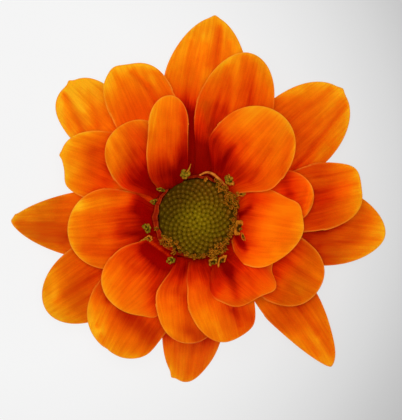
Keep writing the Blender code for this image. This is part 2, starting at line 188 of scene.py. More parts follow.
LOOKS = {
    "outer_ray_1": Look((-0.45, -0.21, 0.61, 0.74, 0.83), (-0.10, -0.10, 0.59, 0.27, 0.35), (
        Fold((4.6, 38.4), (3.8, 27.0), 0.30, 0.55),
        Fold((-1.2, 35.4), (-2.2, 23.0), 0.24, 0.6),
        Fold((1.4, 36.4), (0.6, 24.4), -0.22, 0.8),
        Fold((3.0, 37.4), (2.2, 27.4), -0.14, 0.5),
        Fold((6.6, 35.0), (5.8, 27.4), 0.12, 0.6),
        Pull((3.6, 40.1), (0.0, 0.45, 0.0), 0.7),
        Tint((1.2, 34.4), (0.0, 25.8), 1, -0.10, -0.14),
        Tint((4.4, 37.4), (2.6, 30.6), 0.9, -0.15, 0.15),
        Tint((-1.4, 35.8), (-4.2, 30.2), 1, 0.12, -0.15),
        Tint((7.0, 35.4), (8.2, 32.2), 0.8, 0.02, -0.19),
    )),
    "outer_ray_2": Look((0.08, 0.36, 0.49, 0.68, 0.85), (-0.10, -0.10, 0.50, 0.48, 0.22), (
        Fold((27.0, 26.0), (17.4, 18.6), 0.26, 0.6),
        Fold((30.0, 22.4), (19.4, 9.4), 0.28, 0.6),
        Fold((29.0, 24.6), (20.0, 15.6), -0.2, 1.0),
        Fold((25.0, 20.0), (19.0, 13.6), 0.14, 0.4),
        Pull((29.2, 25.7), (0.35, 0.3, 0.0), 0.8),
        Tint((16.6, 25.0), (21.0, 25.4), 1.4, 0.14, -0.22),
        Tint((29.4, 23.4), (20.6, 17.0), 1.6, -0.15, 0.08),
        Tint((27.4, 22.6), (24.2, 19.8), 0.9, 0.07, 0.06),
        Tint((25.8, 13.8), (24.2, 11.4), 1, 0.19, 0.04),
    )),
    "outer_ray_3": Look((-0.11, 0.02, 0.30, 0.59, 0.83), (-0.10, -0.10, 1.00, 0.75, 0.16), (
        Fold((36.4, -4.4), (24.6, -5.6), 0.22, 0.6),
        Fold((34.6, -0.4), (25.6, -2.6), 0.14, 0.5),
        Fold((33.0, -7.4), (25.6, -8.2), 0.12, 0.5),
        Pull((37.0, -3.6), (0.5, -0.1, 0.0), 4.0),
        Tint((35.4, 1.8), (31.0, -3.8), 2.2, -0.11, 0.15),
        Tint((24.2, -5.4), (29.6, -8.2), 1.6, 0.07, 0.08),
        Tint((24.6, -2.2), (28.6, -1.8), 1.4, -0.18, -0.11),
    )),
    "outer_ray_4": Look((0.35, 0.65, 0.47, 0.69, 0.67), (0.61, 0.60, 1.00, 0.48, 0.38), (
        Fold((18.4, -14.6), (24.2, -23.6), 0.30, 0.6),
        Fold((22.5, -22.9), (26.3, -29.5), -0.22, 0.9),
        Fold((17.6, -18.4), (24.0, -27.6), 0.16, 0.5),
        Fold((21.6, -17.6), (27.0, -27.6), 0.14, 0.5),
        Pull((26.8, -28.2), (0.45, -0.1, 0.0), 4.0),
        Tint((14.2, -18.2), (20.2, -24.2), 1, -0.00, -0.14),
        Tint((25.0, -21.8), (26.6, -27.0), 1.4, -0.04, 0.13),
        Tint((22.2, -19.8), (24.2, -24.6), 1, 0.07, -0.12),
    )),
    "outer_ray_5": Look((-0.18, -0.05, 0.00, 0.57, 0.72), (0.71, 0.76, 0.83, 0.48, 0.57), (
        Fold((-0.5, -25.9), (-1.8, -31.0), 0.2, 0.8),
        Fold((-4.4, -26.6), (-3.9, -31.4), 0.2, 0.8),
        Pull((-4.9, -31.6), (-0.3, -0.5, 0.0), 0.6),
        Pull((-2.2, -32.4), (0.2, -0.6, 0.0), 3.0),
        Tint((-5.0, -26.2), (-4.6, -31.4), 1.2, 0.09, -0.11),
        Tint((1.8, -25.8), (0.6, -31.0), 1.6, -0.15, 0.08),
    )),
    "outer_ray_6": Look((0.36, 0.66, 0.59, 0.72, 0.85), (0.61, 0.54, 0.48, 0.91, 0.64), (
        Fold((-36.6, -1.2), (-25.4, -1.8), 0.28, 0.6),
        Fold((-34.4, -3.0), (-26.4, -3.4), -0.18, 0.5),
        Fold((-33.6, -4.4), (-26.8, -5.4), 0.14, 0.45),
        Pull((-37.0, 0.7), (-0.2, 0.5, 0.0), 0.5),
        Tint((-34.6, 0.6), (-26.6, 2.2), 1.2, -0.04, -0.01),
        Tint((-35.8, -2.6), (-26.2, -3.8), 1.2, -0.24, 0.51),
    )),
    "outer_ray_7": Look((0.24, 0.52, 0.62, 0.80, 0.95), (0.17, 0.14, 0.23, 0.35, 0.32), (
        Fold((-26.8, 24.6), (-22.8, 16.8), 0.26, 0.6),
        Fold((-25.8, 26.6), (-21.8, 19.0), -0.22, 0.9),
        Fold((-22.0, 25.4), (-19.8, 18.4), 0.14, 0.6),
        Pull((-25.6, 27.1), (-0.3, 0.4, 0.0), 0.6),
        Tint((-27.0, 25.0), (-25.8, 17.8), 0.9, -0.08, -0.17),
        Tint((-22.2, 25.8), (-19.8, 23.8), 1.1, 0.10, -0.07),
        Tint((-24.2, 19.4), (-19.4, 20.2), 1.6, -0.02, 0.06),
    )),
    "middle_ray_1": Look((-0.21, 0.14, 0.36, 0.58, 0.81), (0.50, 0.18, 0.49, 0.47, 0.32), (
        Fold((11.4, 30.6), (10.4, 20.4), 0.22, 0.55),
        Fold((6.0, 30.0), (2.4, 17.0), 0.22, 0.55),
        Fold((8.6, 31.0), (6.4, 19.4), -0.16, 0.7),
        Fold((13.6, 28.6), (13.0, 22.4), 0.12, 0.45),
        Tint((4.8, 30.2), (3.0, 23.8), 1.2, 0.05, 0.06),
        Tint((9.4, 31.8), (10.6, 23.4), 1.5, -0.13, 0.05),
        Tint((12.2, 31.4), (14.6, 26.6), 1, -0.00, 0.22),
        Tint((1.8, 22.2), (2.6, 16.6), 1.2, 0.11, 0.60),
        Tint((6.6, 27.8), (5.8, 21.0), 0.8, -0.09, 0.14),
    )),
    "middle_ray_2": Look((0.20, 0.42, 0.30, 0.43, 0.78), (-0.08, -0.10, 0.67, 0.73, 0.19), (
        Pull((31.2, 9.4), (0.8, 0.6, 0.0), 3.0),
        Fold((31.8, 6.4), (22.6, 5.0), 0.2, 0.55),
        Fold((30.6, 9.0), (23.6, 8.0), 0.12, 0.5),
        Tint((21.4, 7.8), (25.0, 7.0), 1.2, 0.14, 0.01),
        Tint((31.8, 9.0), (32.6, 4.2), 1.2, 0.02, 0.02),
        Tint((25.8, 0.6), (29.8, 1.4), 1.2, 0.03, -0.07),
        Tint((24.6, 3.4), (29.6, 5.4), 1.6, -0.09, -0.39),
    )),
    "middle_ray_3": Look((-0.17, -0.09, 0.24, 0.49, 0.55), (-0.10, -0.10, 0.20, 0.90, 0.77), (
        Fold((24.0, -13.4), (17.0, -8.0), 0.18, 0.55),
        Fold((20.8, -16.4), (15.6, -11.0), 0.15, 0.5),
        Tint((16.2, -5.4), (20.2, -7.8), 1.6, -0.04, -0.11),
        Tint((17.4, -13.4), (20.6, -14.6), 1.6, 0.16, -0.10),
        Tint((21.8, -9.0), (24.2, -11.8), 1.4, 0.08, -0.21),
    )),
    "middle_ray_4": Look((-0.02, 0.17, 0.34, 0.55, 0.76), (0.60, 0.57, 0.55, 0.54, 0.47), (
        Fold((-17.6, -16.4), (-19.7, -21.8), 0.4, 0.6),
        Fold((-19.7, -21.8), (-18.8, -25.8), 0.18, 0.6),
        Fold((-21.2, -18.2), (-21.2, -24.0), -0.25, 1.5),
        Pull((-18.5, -27.0), (0.15, 0.35, 0.0), 0.6),
        Pull((-11.2, -26.2), (0.4, -0.4, 0.0), 2.4),
        Tint((-14.6, -19.0), (-9.4, -23.8), 2, -0.19, 0.62),
        Tint((-21.4, -14.6), (-21.0, -20.2), 1.3, 0.04, -0.33),
        Tint((-18.6, -18.2), (-19.4, -22.6), 1.1, 0.31, -0.45),
    )),
    "middle_ray_5": Look((0.22, 0.48, 0.43, 0.63, 0.83), (-0.10, -0.10, 0.66, 0.87, 0.67), (
        Fold((-18.0, -10.2), (-28.0, -17.0), 0.24, 0.9),
        Fold((-19.0, -13.6), (-26.0, -19.6), 0.12, 0.5),
        Tint((-20.6, -15.0), (-24.6, -17.8), 1.6, 0.01, 0.05),
        Tint((-29.0, -11.8), (-28.2, -16.6), 1.4, 0.10, -0.31),
        Tint((-23.4, -9.0), (-27.0, -11.8), 1.4, 0.05, -0.14),
    )),
    "middle_ray_6": Look((0.29, 0.66, 0.33, 0.68, 0.91), (0.62, -0.10, 0.34, 0.45, 0.23), (
        Fold((-25.6, 12.2), (-18.6, 13.6), 0.12, 1.2),
        Pull((-27.2, 12.4), (-0.4, 0.0, 0.0), 0.6),
        Pull((-25.2, 6.8), (-1.3, -0.5, 0.0), 2.4),
        Pull((-23.6, 4.6), (-0.5, -0.5, 0.0), 2.4),
        Tint((-21.0, 13.0), (-21.4, 9.0), 1.8, -0.16, 0.30),
        Tint((-26.2, 8.2), (-25.0, 5.4), 1.2, 0.06, 0.18),
        Tint((-24.6, 15.4), (-20.2, 16.2), 1, -0.08, 0.02),
    )),
    "middle_ray_7": Look((0.04, 0.28, 0.49, 0.60, 0.91), (0.15, 0.11, 0.19, 0.50, 0.24), (
        Fold((-13.0, 29.0), (-9.8, 26.0), 0.34, 0.55),
        Fold((-9.8, 26.0), (-8.2, 22.8), 0.4, 0.55),
        Fold((-16.6, 29.0), (-15.0, 26.4), 0.18, 0.7),
        Pull((-16.2, 29.8), (-0.4, 0.5, 0.0), 2.0),
        Tint((-12.2, 29.8), (-7.4, 28.6), 1, -0.12, 0.05),
        Tint((-7.0, 27.0), (-5.0, 24.6), 0.9, -0.04, -0.02),
        Tint((-13.8, 26.6), (-11.4, 21.0), 2, -0.08, 0.11),
        Tint((-9.0, 27.8), (-7.8, 25.4), 0.8, 0.11, -0.06),
        Tint((-17.8, 28.6), (-17.0, 23.4), 1, 0.02, 0.03),
    )),
    "inner_ray_1": Look((0.08, 0.36, 0.51, 0.62, 0.66), (0.60, 0.56, 0.55, 0.28, 0.15), (
        Fold((-6.2, 15.4), (-5.0, 10.6), -0.18, 0.7),
        Pull((-8.8, 7.6), (-0.3, -0.4, 0.3), 1.8),
        Pull((-5.8, 6.4), (0.0, 0.0, 1.3), 2.0),
        Pull((-10.6, 12.4), (-0.4, 0.0, 0.0), 3.0),
        Tint((-8.6, 21.4), (-8.6, 9.8), 1.1, 0.07, 0.11),
        Tint((-2.4, 22.2), (-2.2, 9.0), 1.2, -0.30, -0.02),
        Tint((-5.8, 17.0), (-5.4, 9.0), 1, -0.06, 0.18),
        Tint((-6.6, 21.0), (-6.2, 18.2), 1, 0.02, 0.15),
        Tint((-3.4, 13.4), (-3.8, 7.0), 1.4, -0.11, 0.11),
    ), 0.08),
    "inner_ray_2": Look((-0.06, 0.04, 0.39, 0.58, 0.68), (0.35, 0.42, 0.89, 0.66, 0.28), (
        Fold((-13.6, 18.0), (-12.6, 9.8), 0.22, 1.2),
        Pull((-7.4, 7.0), (0.0, 0.0, -1.4), 2.2),
        Tint((-16.2, 18.6), (-11.8, 19.4), 0.9, -0.01, -0.01),
        Tint((-17.0, 15.4), (-16.6, 9.4), 1.1, 0.05, -0.25),
        Tint((-11.8, 16.2), (-10.2, 10.2), 1.7, -0.12, -0.29),
        Tint((-13.8, 8.6), (-9.4, 6.6), 1.6, -0.06, -0.13),
    ), 0.15),
    "inner_ray_3": Look((0.02, 0.27, 0.49, 0.56, 0.76), (0.60, 0.58, 0.53, 0.50, 0.21), (
        Fold((-19.2, -3.6), (-11.6, -3.2), 0.2, 0.5),
        Fold((-18.4, 1.6), (-11.4, 1.0), 0.12, 0.5),
        Pull((-11.6, 3.8), (0.0, 1.0, 0.0), 3.0),
        Tint((-23.0, 2.2), (-14.2, 3.4), 1.6, 0.25, -0.21),
        Tint((-15.4, -3.0), (-9.8, -4.2), 1.5, -0.08, -0.06),
        Tint((-22.2, -6.6), (-15.8, -7.4), 1.3, -0.12, 0.05),
        Tint((-11.8, 1.8), (-9.4, -0.6), 1.4, -0.11, -0.49),
        Tint((-24.2, -1.8), (-23.4, -6.6), 1.2, -0.02, 0.15),
    )),
    "inner_ray_4": Look((0.04, 0.27, 0.39, 0.57, 0.69), (0.50, 0.51, 0.46, 0.14, 0.03), (
        Fold((-15.2, -10.0), (-17.0, -12.4), -0.16, 0.7),
        Fold((-12.4, -10.4), (-15.4, -16.4), 0.18, 0.9),
        Pull((-8.4, -18.6), (0.3, -1.2, 0.0), 2.2),
        Tint((-17.8, -7.4), (-13.8, -5.4), 1.6, -0.10, -0.03),
        Tint((-15.0, -11.8), (-11.4, -12.6), 2, 0.05, -0.19),
        Tint((-8.2, -11.8), (-9.0, -17.8), 1.3, -0.08, -0.18),
        Tint((-10.2, -6.6), (-6.6, -9.0), 1.6, -0.32, -0.51),
        Tint((-9.2, -5.0), (-5.0, -8.2), 0.4, 0.3, 0.2),
    ), -0.12),
    "inner_ray_5": Look((0.08, 0.38, 0.54, 0.63, 0.32), (0.50, 0.68, 0.30, 0.31, 1.00), (
        Fold((-2.6, -9.8), (-4.4, -15.0), 0.3, 0.8),
        Fold((-4.0, -12.2), (-5.2, -17.0), -0.18, 0.7),
        Pull((-8.8, -15.0), (-0.4, 0.0, 0.0), 3.0),
        Tint((-4.2, -11.0), (-5.8, -16.6), 1, -0.01, -0.08),
        Tint((-5.8, -23.0), (-2.2, -24.6), 1.4, 0.29, -0.57),
        Tint((-2.2, -15.8), (-1.4, -22.2), 1.3, -0.18, 0.37),
        Tint((-3.4, -9.0), (-3.8, -12.2), 1.2, -0.02, -0.28),
    )),
    "inner_ray_6": Look((0.12, 0.41, 0.58, 0.62, 0.56), (0.50, 0.43, 0.27, 0.34, 0.41), (
        Fold((1.0, -9.4), (0.6, -13.0), -0.2, 0.6),
        Fold((7.2, -18.6), (8.2, -21.4), 0.3, 0.6),
        Fold((3.0, -10.6), (2.8, -20.0), 0.2, 0.8),
        Pull((-0.2, -9.8), (-1.1, 0.0, 0.8), 2.0),
        Pull((-1.4, -12.2), (-0.8, 0.0, 0.0), 1.8),
        Pull((11.0, -21.0), (0.7, -0.5, 0.0), 3.0),
        Tint((6.6, -17.8), (10.6, -20.2), 2, -0.27, 0.31),
        Tint((1.8, -19.0), (4.2, -23.4), 1.6, 0.15, -0.16),
        Tint((0.6, -9.0), (1.8, -12.6), 1.2, -0.04, -0.16),
        Tint((-1.0, -11.0), (-1.4, -16.6), 0.8, 0.04, -0.19),
    ), -0.04),
    "inner_ray_7": Look((0.12, 0.14, 0.32, 0.38, 0.46), (0.60, 0.23, 0.20, -0.10, -0.10), (
        Fold((6.2, -10.4), (8.0, -16.0), 0.34, 0.8),
        Fold((10.2, -11.6), (11.6, -15.6), 0.16, 0.8),
        Pull((5.8, -10.2), (0.0, 0.0, -1.1), 1.5),
        Pull((8.9, -7.0), (0.0, 0.0, -1.9), 2.6),
        Pull((3.9, -15.6), (-0.6, -0.6, 0.3), 1.8),
        Pull((15.8, -10.4), (-0.9, 0.0, 0.0), 1.8),
        Pull((14.2, -13.4), (1.4, -0.9, 0.4), 2.4),
        Tint((5.4, -9.4), (7.8, -13.4), 1.4, -0.12, 0.27),
        Tint((4.6, -12.6), (3.8, -15.8), 1, -0.05, -0.09),
        Tint((7.0, -13.4), (9.0, -16.6), 1.2, 0.03, 0.09),
        Tint((10.6, -11.8), (14.2, -15.0), 1.8, 0.05, 0.26),
        Tint((5.8, -17.4), (13.0, -16.2), 0.9, 0.00, 0.63),
        Tint((8.6, -10.2), (13.0, -10.6), 1.4, -0.06, -0.18),
    )),
    "inner_ray_8": Look((0.27, 0.47, 0.62, 0.58, 0.69), (0.10, 0.01, 0.01, 0.06, 0.13), (
        Fold((9.6, 0.4), (18.6, -1.0), 0.12, 0.9),
        Fold((9.0, -5.0), (14.0, -7.0), 0.2, 1.0),
        Pull((20.2, 2.2), (0.7, 0.8, 0.0), 2.2),
        Pull((8.2, -5.8), (0.0, 0.0, 1.3), 2.2),
        Pull((12.8, -9.8), (0.0, -0.5, 0.0), 3.2),
        Tint((8.2, 0.2), (10.6, 2.0), 0.6, -0.22, 0.2),
        Tint((8.0, -4.0), (9.6, -6.4), 0.7, -0.25, 0.1),
        Tint((9.4, -6.6), (16.2, -7.8), 1.4, 0.04, -0.02),
        Tint((7.8, 1.0), (8.6, -5.4), 1, -0.09, -0.28),
        Tint((17.4, -5.8), (20.6, -3.4), 1.2, -0.01, 0.18),
        Tint((17.8, 1.0), (19.8, -1.8), 1.6, 0.11, -0.19),
        Tint((9.4, 2.2), (12.2, 0.6), 1.1, 0.03, -0.13),
        Tint((11.4, 3.4), (17.4, 3.8), 1, -0.10, -0.18),
    ), -0.08),
    "inner_ray_9": Look((0.15, 0.35, 0.53, 0.67, 0.77), (0.11, 0.47, 0.38, 0.04, -0.10), (
        Fold((14.8, 13.4), (10.6, 7.0), 0.16, 0.5),
        Fold((7.4, 13.6), (4.4, 9.4), 0.3, 1.0),
        Fold((9.6, 14.4), (6.6, 9.4), 0.12, 0.5),
        Fold((12.4, 16.4), (9.0, 10.4), -0.1, 0.8),
        Tint((7.0, 17.4), (11.0, 20.6), 1.9, 0.19, -0.13),
        Tint((18.6, 15.4), (17.0, 8.2), 1.1, -0.18, 0.20),
        Tint((3.8, 15.4), (5.8, 11.8), 1.5, -0.06, 0.23),
        Tint((13.4, 13.0), (19.0, 18.2), 1.8, -0.03, 0.28),
        Tint((8.6, 9.0), (13.0, 13.8), 1, -0.03, 0.04),
        Tint((6.2, 10.6), (7.8, 13.4), 1, 0.05, -0.32),
    ), -0.2),
    "inner_ray_10": Look((0.34, 0.32, 0.29, 0.26, 0.43), (0.80, -0.10, -0.10, 0.00, -0.10), (
        Fold((22.9, 7.4), (23.1, 4.4), -0.5, 0.6),
        Fold((23.1, 4.4), (21.8, 0.6), -0.9, 0.7),
        Tint((17.4, 7.4), (18.6, 5.0), 1.2, -0.13, -0.56),
        Tint((19.0, 5.8), (20.6, 4.6), 1, 0.08, 0.26),
        Tint((21.8, 5.8), (22.4, 1.0), 0.8, -0.03, 0.33),
        Tint((20.6, 3.4), (21.4, 0.6), 0.8, -0.00, 0.31),
    )),
}


def every_ray():
    """Name, whorl and ray, with what the ray leaves out taken from its whorl."""
    for name, whorl in WHORLS.items():
        for number, ray in enumerate(whorl.rays, 1):
            shared = {key: getattr(whorl, key) for key in ("shoulder", "crest_at", "arch")}
            own = {key: value for key, value in ray._asdict().items() if value is not None}
            yield f"{name}_ray_{number}", whorl, Ray(**{**shared, **own})


def smooth_step(x):
    x = np.clip(x, 0.0, 1.0)
    return x * x * (3 - 2 * x)


def curve_through(values, at):
    """A smooth curve through values, where a place is its number in the row, from 1 to the last but one."""
    values = np.asarray(values, float)
    at = np.clip(at, 1.0, len(values) - 2 - 1e-6)
    k = at.astype(int)
    f = (at - k).reshape(at.shape + (1,) * (values.ndim - 1))
    a, b, c, d = values[k - 1], values[k], values[k + 1], values[k + 2]
    return 0.5 * (2 * b + (c - a) * f + (2 * a - 5 * b + 4 * c - d) * f**2 + (3 * b - a - 3 * c + d) * f**3)


def quarter_sine(x):
    return np.sin(np.clip(x, 0.0, 1.0) * math.pi / 2)


def unit(vectors):
    length = np.linalg.norm(vectors, axis=-1, keepdims=True)
    return vectors / np.maximum(length, 1e-12)


# Meshes


def solid(name, points, faces, material, fields=None):
    """A smooth mesh object from points in millimetres, with named numbers for its points."""
    mesh = bpy.data.meshes.new(name)
    mesh.from_pydata((np.asarray(points, float) * MM).tolist(), [], faces)
    mesh.validate()
    mesh.shade_smooth()
    for key, values in (fields or {}).items():
        layer = mesh.attributes.new(key, "FLOAT", "POINT")
        layer.data.foreach_set("value", np.asarray(values, np.float32).ravel())
    obj = bpy.data.objects.new(name, mesh)
    obj.data.materials.append(material)
    bpy.context.scene.collection.objects.link(obj)
    return obj


def dress(piece, slot, *nodes):
    """Puts a piece on the bloom under its body and hides the solids of the nodes it stands for. The finish it
    takes, slot, is not used.
    """
    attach(piece, BODY)
    if nodes:
        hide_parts(*nodes)
    return piece


def quads(index):
    """Faces of a grid of point numbers, anticlockwise where rows go out and columns go left."""
    corners = (index[:-1, :-1], index[1:, :-1], index[1:, 1:], index[:-1, 1:])
    return np.stack(corners, axis=-1).reshape(-1, 4)


def grid_normals(points):
    """Normals of a grid, each the mean of the faces round it."""
    across = points[1:, 1:] - points[:-1, :-1]
    down = points[:-1, 1:] - points[1:, :-1]
    face = np.cross(across, down)
    total = np.zeros_like(points)
    for i in (0, 1):
        for j in (0, 1):
            total[i : i + face.shape[0], j : j + face.shape[1]] += face
    return unit(total)


def blade(top, thick):
    """Points and faces of a closed blade under a grid, with a rounded margin, and the grid point
    that each one belongs to."""
    normal = grid_normals(top)
    bottom = top - normal * thick[..., None]
    index = np.arange(thick.size).reshape(thick.shape)
    outward = np.zeros_like(top)
    outward[:, 0] += unit(top[:, 0] - top[:, 1])
    outward[:, -1] += unit(top[:, -1] - top[:, -2])
    outward[-1] += unit(top[-1] - top[-2])
    middle = (top + bottom) / 2 + unit(outward) * thick[..., None] / 2
    side = np.concatenate((index[:, 0], index[-1, 1:-1], index[::-1, -1]))
    count = index.size
    rim = np.arange(len(side)) + 2 * count
    upper = np.stack((side[:-1], rim[:-1], rim[1:], side[1:]), axis=-1)
    lower = np.stack((rim[:-1], side[:-1] + count, side[1:] + count, rim[1:]), axis=-1)
    foot = index[0]
    root = np.stack((foot[:-1], foot[1:], foot[1:] + count, foot[:-1] + count), axis=-1)
    faces = np.concatenate((quads(index), quads(index)[:, ::-1] + count, upper, lower, root)).tolist()
    faces.append([int(foot[0]), int(foot[0]) + count, int(rim[0])])
    faces.append([int(foot[-1]), int(rim[-1]), int(foot[-1]) + count])
    points = np.concatenate((top.reshape(-1, 3), bottom.reshape(-1, 3), middle.reshape(-1, 3)[side]))
    owner = np.concatenate((index.ravel(), index.ravel(), side))
    under = np.concatenate((np.zeros(count), np.ones(count), np.full(len(side), 0.5)))
    return points, faces, owner, under


# Materials


class Nodes:
    """Short calls that build the nodes of one material."""

    def __init__(self, name, constants):
        self.material = bpy.data.materials.new(name)
        self.material.use_nodes = True
        self.tree = self.material.node_tree
        self.shader = self.tree.nodes["Principled BSDF"]
        for key, value in constants.items():
            self.shader.inputs[key].default_value = value

    def feed(self, socket, value):
        if isinstance(value, bpy.types.NodeSocket):
            self.tree.links.new(value, socket)
        else:
            socket.default_value = value

    def add(self, kind, inputs, **settings):
        node = self.tree.nodes.new("ShaderNode" + kind)
        for key, value in settings.items():
            setattr(node, key, value)
        for key, value in inputs.items():
            self.feed(node.inputs[key], value)
        return node

    def read(self, name):
        return self.add("Attribute", {}, attribute_name=name).outputs["Fac"]

    def calc(self, operation, a, b=0.0):
        return self.add("Math", {0: a, 1: b}, operation=operation).outputs[0]

    def vector(self, x, y, z=0.0):
        return self.add("CombineXYZ", {0: x, 1: y, 2: z}).outputs[0]

    def place(self):
        return self.add("TexCoord", {}).outputs["Object"]

    def noise(self, at, scale, detail=2.0, rough=0.5):
        inputs = {"Vector": at, "Scale": scale, "Detail": detail, "Roughness": rough}
        return self.add("TexNoise", inputs).outputs[0]

    def between(self, value, low, high, to_low=0.0, to_high=1.0):
        inputs = {0: value, 1: low, 2: high, 3: to_low, 4: to_high}
        return self.add("MapRange", inputs, interpolation_type="SMOOTHSTEP").outputs[0]

    def ramp(self, value, stops):
        node = self.add("ValToRGB", {0: value})
        elements = node.color_ramp.elements
        while len(elements) < len(stops):
            elements.new(1.0)
        for element, (at, colour) in zip(elements, stops):
            element.position = at
            element.color = (*colour, 1.0)
        return node.outputs[0]

    def mix(self, share, a, b, blend="MIX"):
        ends = [x if isinstance(x, bpy.types.NodeSocket) else (*x, 1.0) for x in (a, b)]
        node = self.add("Mix", {0: share, 6: ends[0], 7: ends[1]}, data_type="RGBA", blend_type=blend)
        return node.outputs[2]

    def finish(self, colour, roughness=None, height=None, relief=1.0):
        """Feeds the shader. Height is in units of relief, which is in millimetres."""
        self.feed(self.shader.inputs["Base Color"], colour)
        if roughness is not None:
            self.feed(self.shader.inputs["Roughness"], roughness)
        if height is not None:
            bump = self.add("Bump", {"Height": height, "Distance": relief * MM, "Strength": 1.0})
            self.feed(self.shader.inputs["Normal"], bump.outputs[0])
        return self.material


def ray_material():
    nodes = Nodes("ray_floret_orange", {
        "Roughness": 0.6,
        "Specular IOR Level": 0.08,
        "Specular Tint": (1.0, 0.3, 0.05, 1.0),
        "Subsurface Weight": 0.3,
        "Subsurface Scale": 1.0 * MM,
        "Subsurface Radius": (1.0, 0.22, 0.04),
    })
    vein = nodes.read("vein")
    length = nodes.read("length")
    seed = nodes.read("seed")
    streaks = nodes.noise(nodes.vector(vein, nodes.calc("MULTIPLY", length, 0.07), seed), 1.5, 3.0, 0.6)
    hairlines = nodes.noise(nodes.vector(vein, nodes.calc("MULTIPLY", length, 0.05), seed), 4.5, 2.0, 0.5)
    clouds = nodes.noise(nodes.vector(vein, length, seed), 0.22, 2.0, 0.5)
    tone = nodes.calc("ADD", nodes.read("tone"), nodes.between(streaks, 0.3, 0.7, -0.035, 0.035))
    tone = nodes.calc("ADD", tone, nodes.between(hairlines, 0.3, 0.7, -0.022, 0.022))
    tone = nodes.calc("ADD", tone, nodes.between(clouds, 0.3, 0.7, -0.035, 0.035))
    colour = nodes.ramp(tone, (
        (0.0, (0.30, 0.0, 0.0)),
        (0.13, (0.50, 0.0069, 0.0)),
        (0.26, (0.72, 0.023, 0.0)),
        (0.38, (0.86, 0.0577, 0.0004)),
        (0.51, (0.93, 0.0984, 0.0007)),
        (0.64, (0.96, 0.143, 0.001)),
        (0.77, (0.98, 0.206, 0.0015)),
        (0.87, (0.99, 0.297, 0.003)),
        (1.0, (1.0, 0.44, 0.008)),
    ))
    grain = nodes.noise(nodes.place(), 3400.0, 2.0, 0.6)
    # Painted shade, with some real browning: the colour is multiplied darker by how shaded and browned each
    # point is, varied by noise.
    shade_brown = nodes.calc("ADD", nodes.read("shade_and_browning"), nodes.between(streaks, 0.3, 0.7, 0.10, -0.10))
    shade_brown = nodes.calc("ADD", shade_brown, nodes.between(clouds, 0.3, 0.7, 0.08, -0.08))
    shade_brown = nodes.calc("ADD", shade_brown, nodes.between(grain, 0.3, 0.7, 0.07, -0.07))
    colour = nodes.mix(shade_brown, colour, nodes.mix(1.0, colour, (0.6, 0.6, 0.5), "MULTIPLY"))
    # Painted highlight: a lighter line along the margin, where the rolled margin catches the light.
    margin_highlight = nodes.between(nodes.read("margin"), 0.05, 0.4, 1.0, 0.0)
    margin_highlight = nodes.calc("MULTIPLY", margin_highlight, nodes.between(tone, 0.1, 0.5, 0.0, 0.5))
    margin_highlight = nodes.calc("MULTIPLY", margin_highlight, nodes.between(clouds, 0.35, 0.6, 0.5, 1.0))
    colour = nodes.mix(margin_highlight, colour, (1.0, 0.28, 0.025))
    under = nodes.between(nodes.read("under"), 0.45, 1.0)
    under = nodes.calc("MULTIPLY", under, nodes.between(tone, -0.3, 0.7, 0.3, 0.65))
    colour = nodes.mix(under, colour, (0.95, 0.34, 0.02))
    height = nodes.calc("ADD", nodes.calc("MULTIPLY", hairlines, 1.0), nodes.calc("MULTIPLY", grain, 0.25))
    roughness = nodes.between(streaks, 0.3, 0.7, 0.68, 0.52)
    return nodes.finish(colour, roughness, height, 0.035)


# Ray florets


def midrib(whorl, ray, t):
    """Place and heading of the midrib, seen from above, at shares t of its length."""
    turn = math.radians(ray.root)
    root = (whorl.root_radius - ray.inset) * np.array((math.cos(turn), math.sin(turn)))
    tip = np.array(ray.tip)
    along = (tip - root) / np.linalg.norm(tip - root)
    control = (root + tip) / 2 + 2 * ray.bow * np.array((-along[1], along[0]))
    t = t[..., None]
    place = (1 - t) ** 2 * root + 2 * t * (1 - t) * control + t**2 * tip
    heading = (1 - t) * (control - root) + t * (tip - control)
    return place, unit(heading), float(np.linalg.norm(tip - root))


def ray_surface(whorl, ray, s, u):
    """The upper face: s is 0 at the claw and 1 at the margin, u is -1 at the right side and 1 at the left.
    Also each point's share of the length, its place across, -1 to 1, and that in millimetres."""
    s, u = np.broadcast_arrays(s, u)
    v = np.sin(u * math.pi / 2)
    rounding = np.maximum(0.0, 1 - np.abs(v) ** ray.blunt) ** (1 / ray.blunt)
    t = s * (ray.cheek + (1 - ray.cheek) * rounding)
    half = np.where(v > 0, ray.left, ray.right)
    opening = t / ray.shoulder / WIDENING
    widening = quarter_sine((1 - ray.flare) * smooth_step(opening) + ray.flare * opening)
    x = half * v * (ray.claw + (1 - ray.claw) * widening)
    place, heading, reach = midrib(whorl, ray, t)
    leftward = np.stack((-heading[..., 1], heading[..., 0]), axis=-1)
    place = place + leftward * x[..., None] + heading * (ray.slant * v * t**2)[..., None]
    z = whorl.root_height + (ray.crest - whorl.root_height) * quarter_sine(t / ray.crest_at)
    past = (t - ray.crest_at) / (1 - ray.crest_at)
    z = z - (ray.crest - ray.tip_height) * (1 - quarter_sine(1 - past))
    opened = smooth_step(t / CLAW_END)
    hang = (opened * (1 + CLAW_CUP) - CLAW_CUP) * smooth_step(t / CLAW_NECK)
    z = z + opened * ray.roll * x - hang * ray.arch * half * v**2
    return np.concatenate((place, z[..., None]), axis=-1), t, v, half * v, t * reach


def margin_distance(points):
    """Distance of each grid point from the blade's margin."""
    edge = np.concatenate((points[:, 0], points[-1], points[::-1, -1]))
    flat = points.reshape(-1, 3)
    nearest = []
    for part in np.array_split(flat, 16):
        nearest.append(np.linalg.norm(part[:, None] - edge[None], axis=-1).min(axis=1))
    return np.concatenate(nearest).reshape(points.shape[:2])


def segment_distance(points, start, end):
    start = np.array(start)
    span = np.array(end) - start
    share = np.clip((points - start) @ span / (span @ span), 0.0, 1.0)
    return np.linalg.norm(points - start - share[..., None] * span, axis=-1)


def soft_bends(rng, v, t, count=4):
    """Slow random bends, within about -1 to 1."""
    total = np.zeros_like(v)
    for _ in range(count):
        across, along = rng.uniform(0.6, 2.2), rng.uniform(0.8, 3.0)
        phase = rng.uniform(0, 2 * math.pi)
        total += np.cos(across * v * 2 + along * t * math.pi + phase)
    return total / count


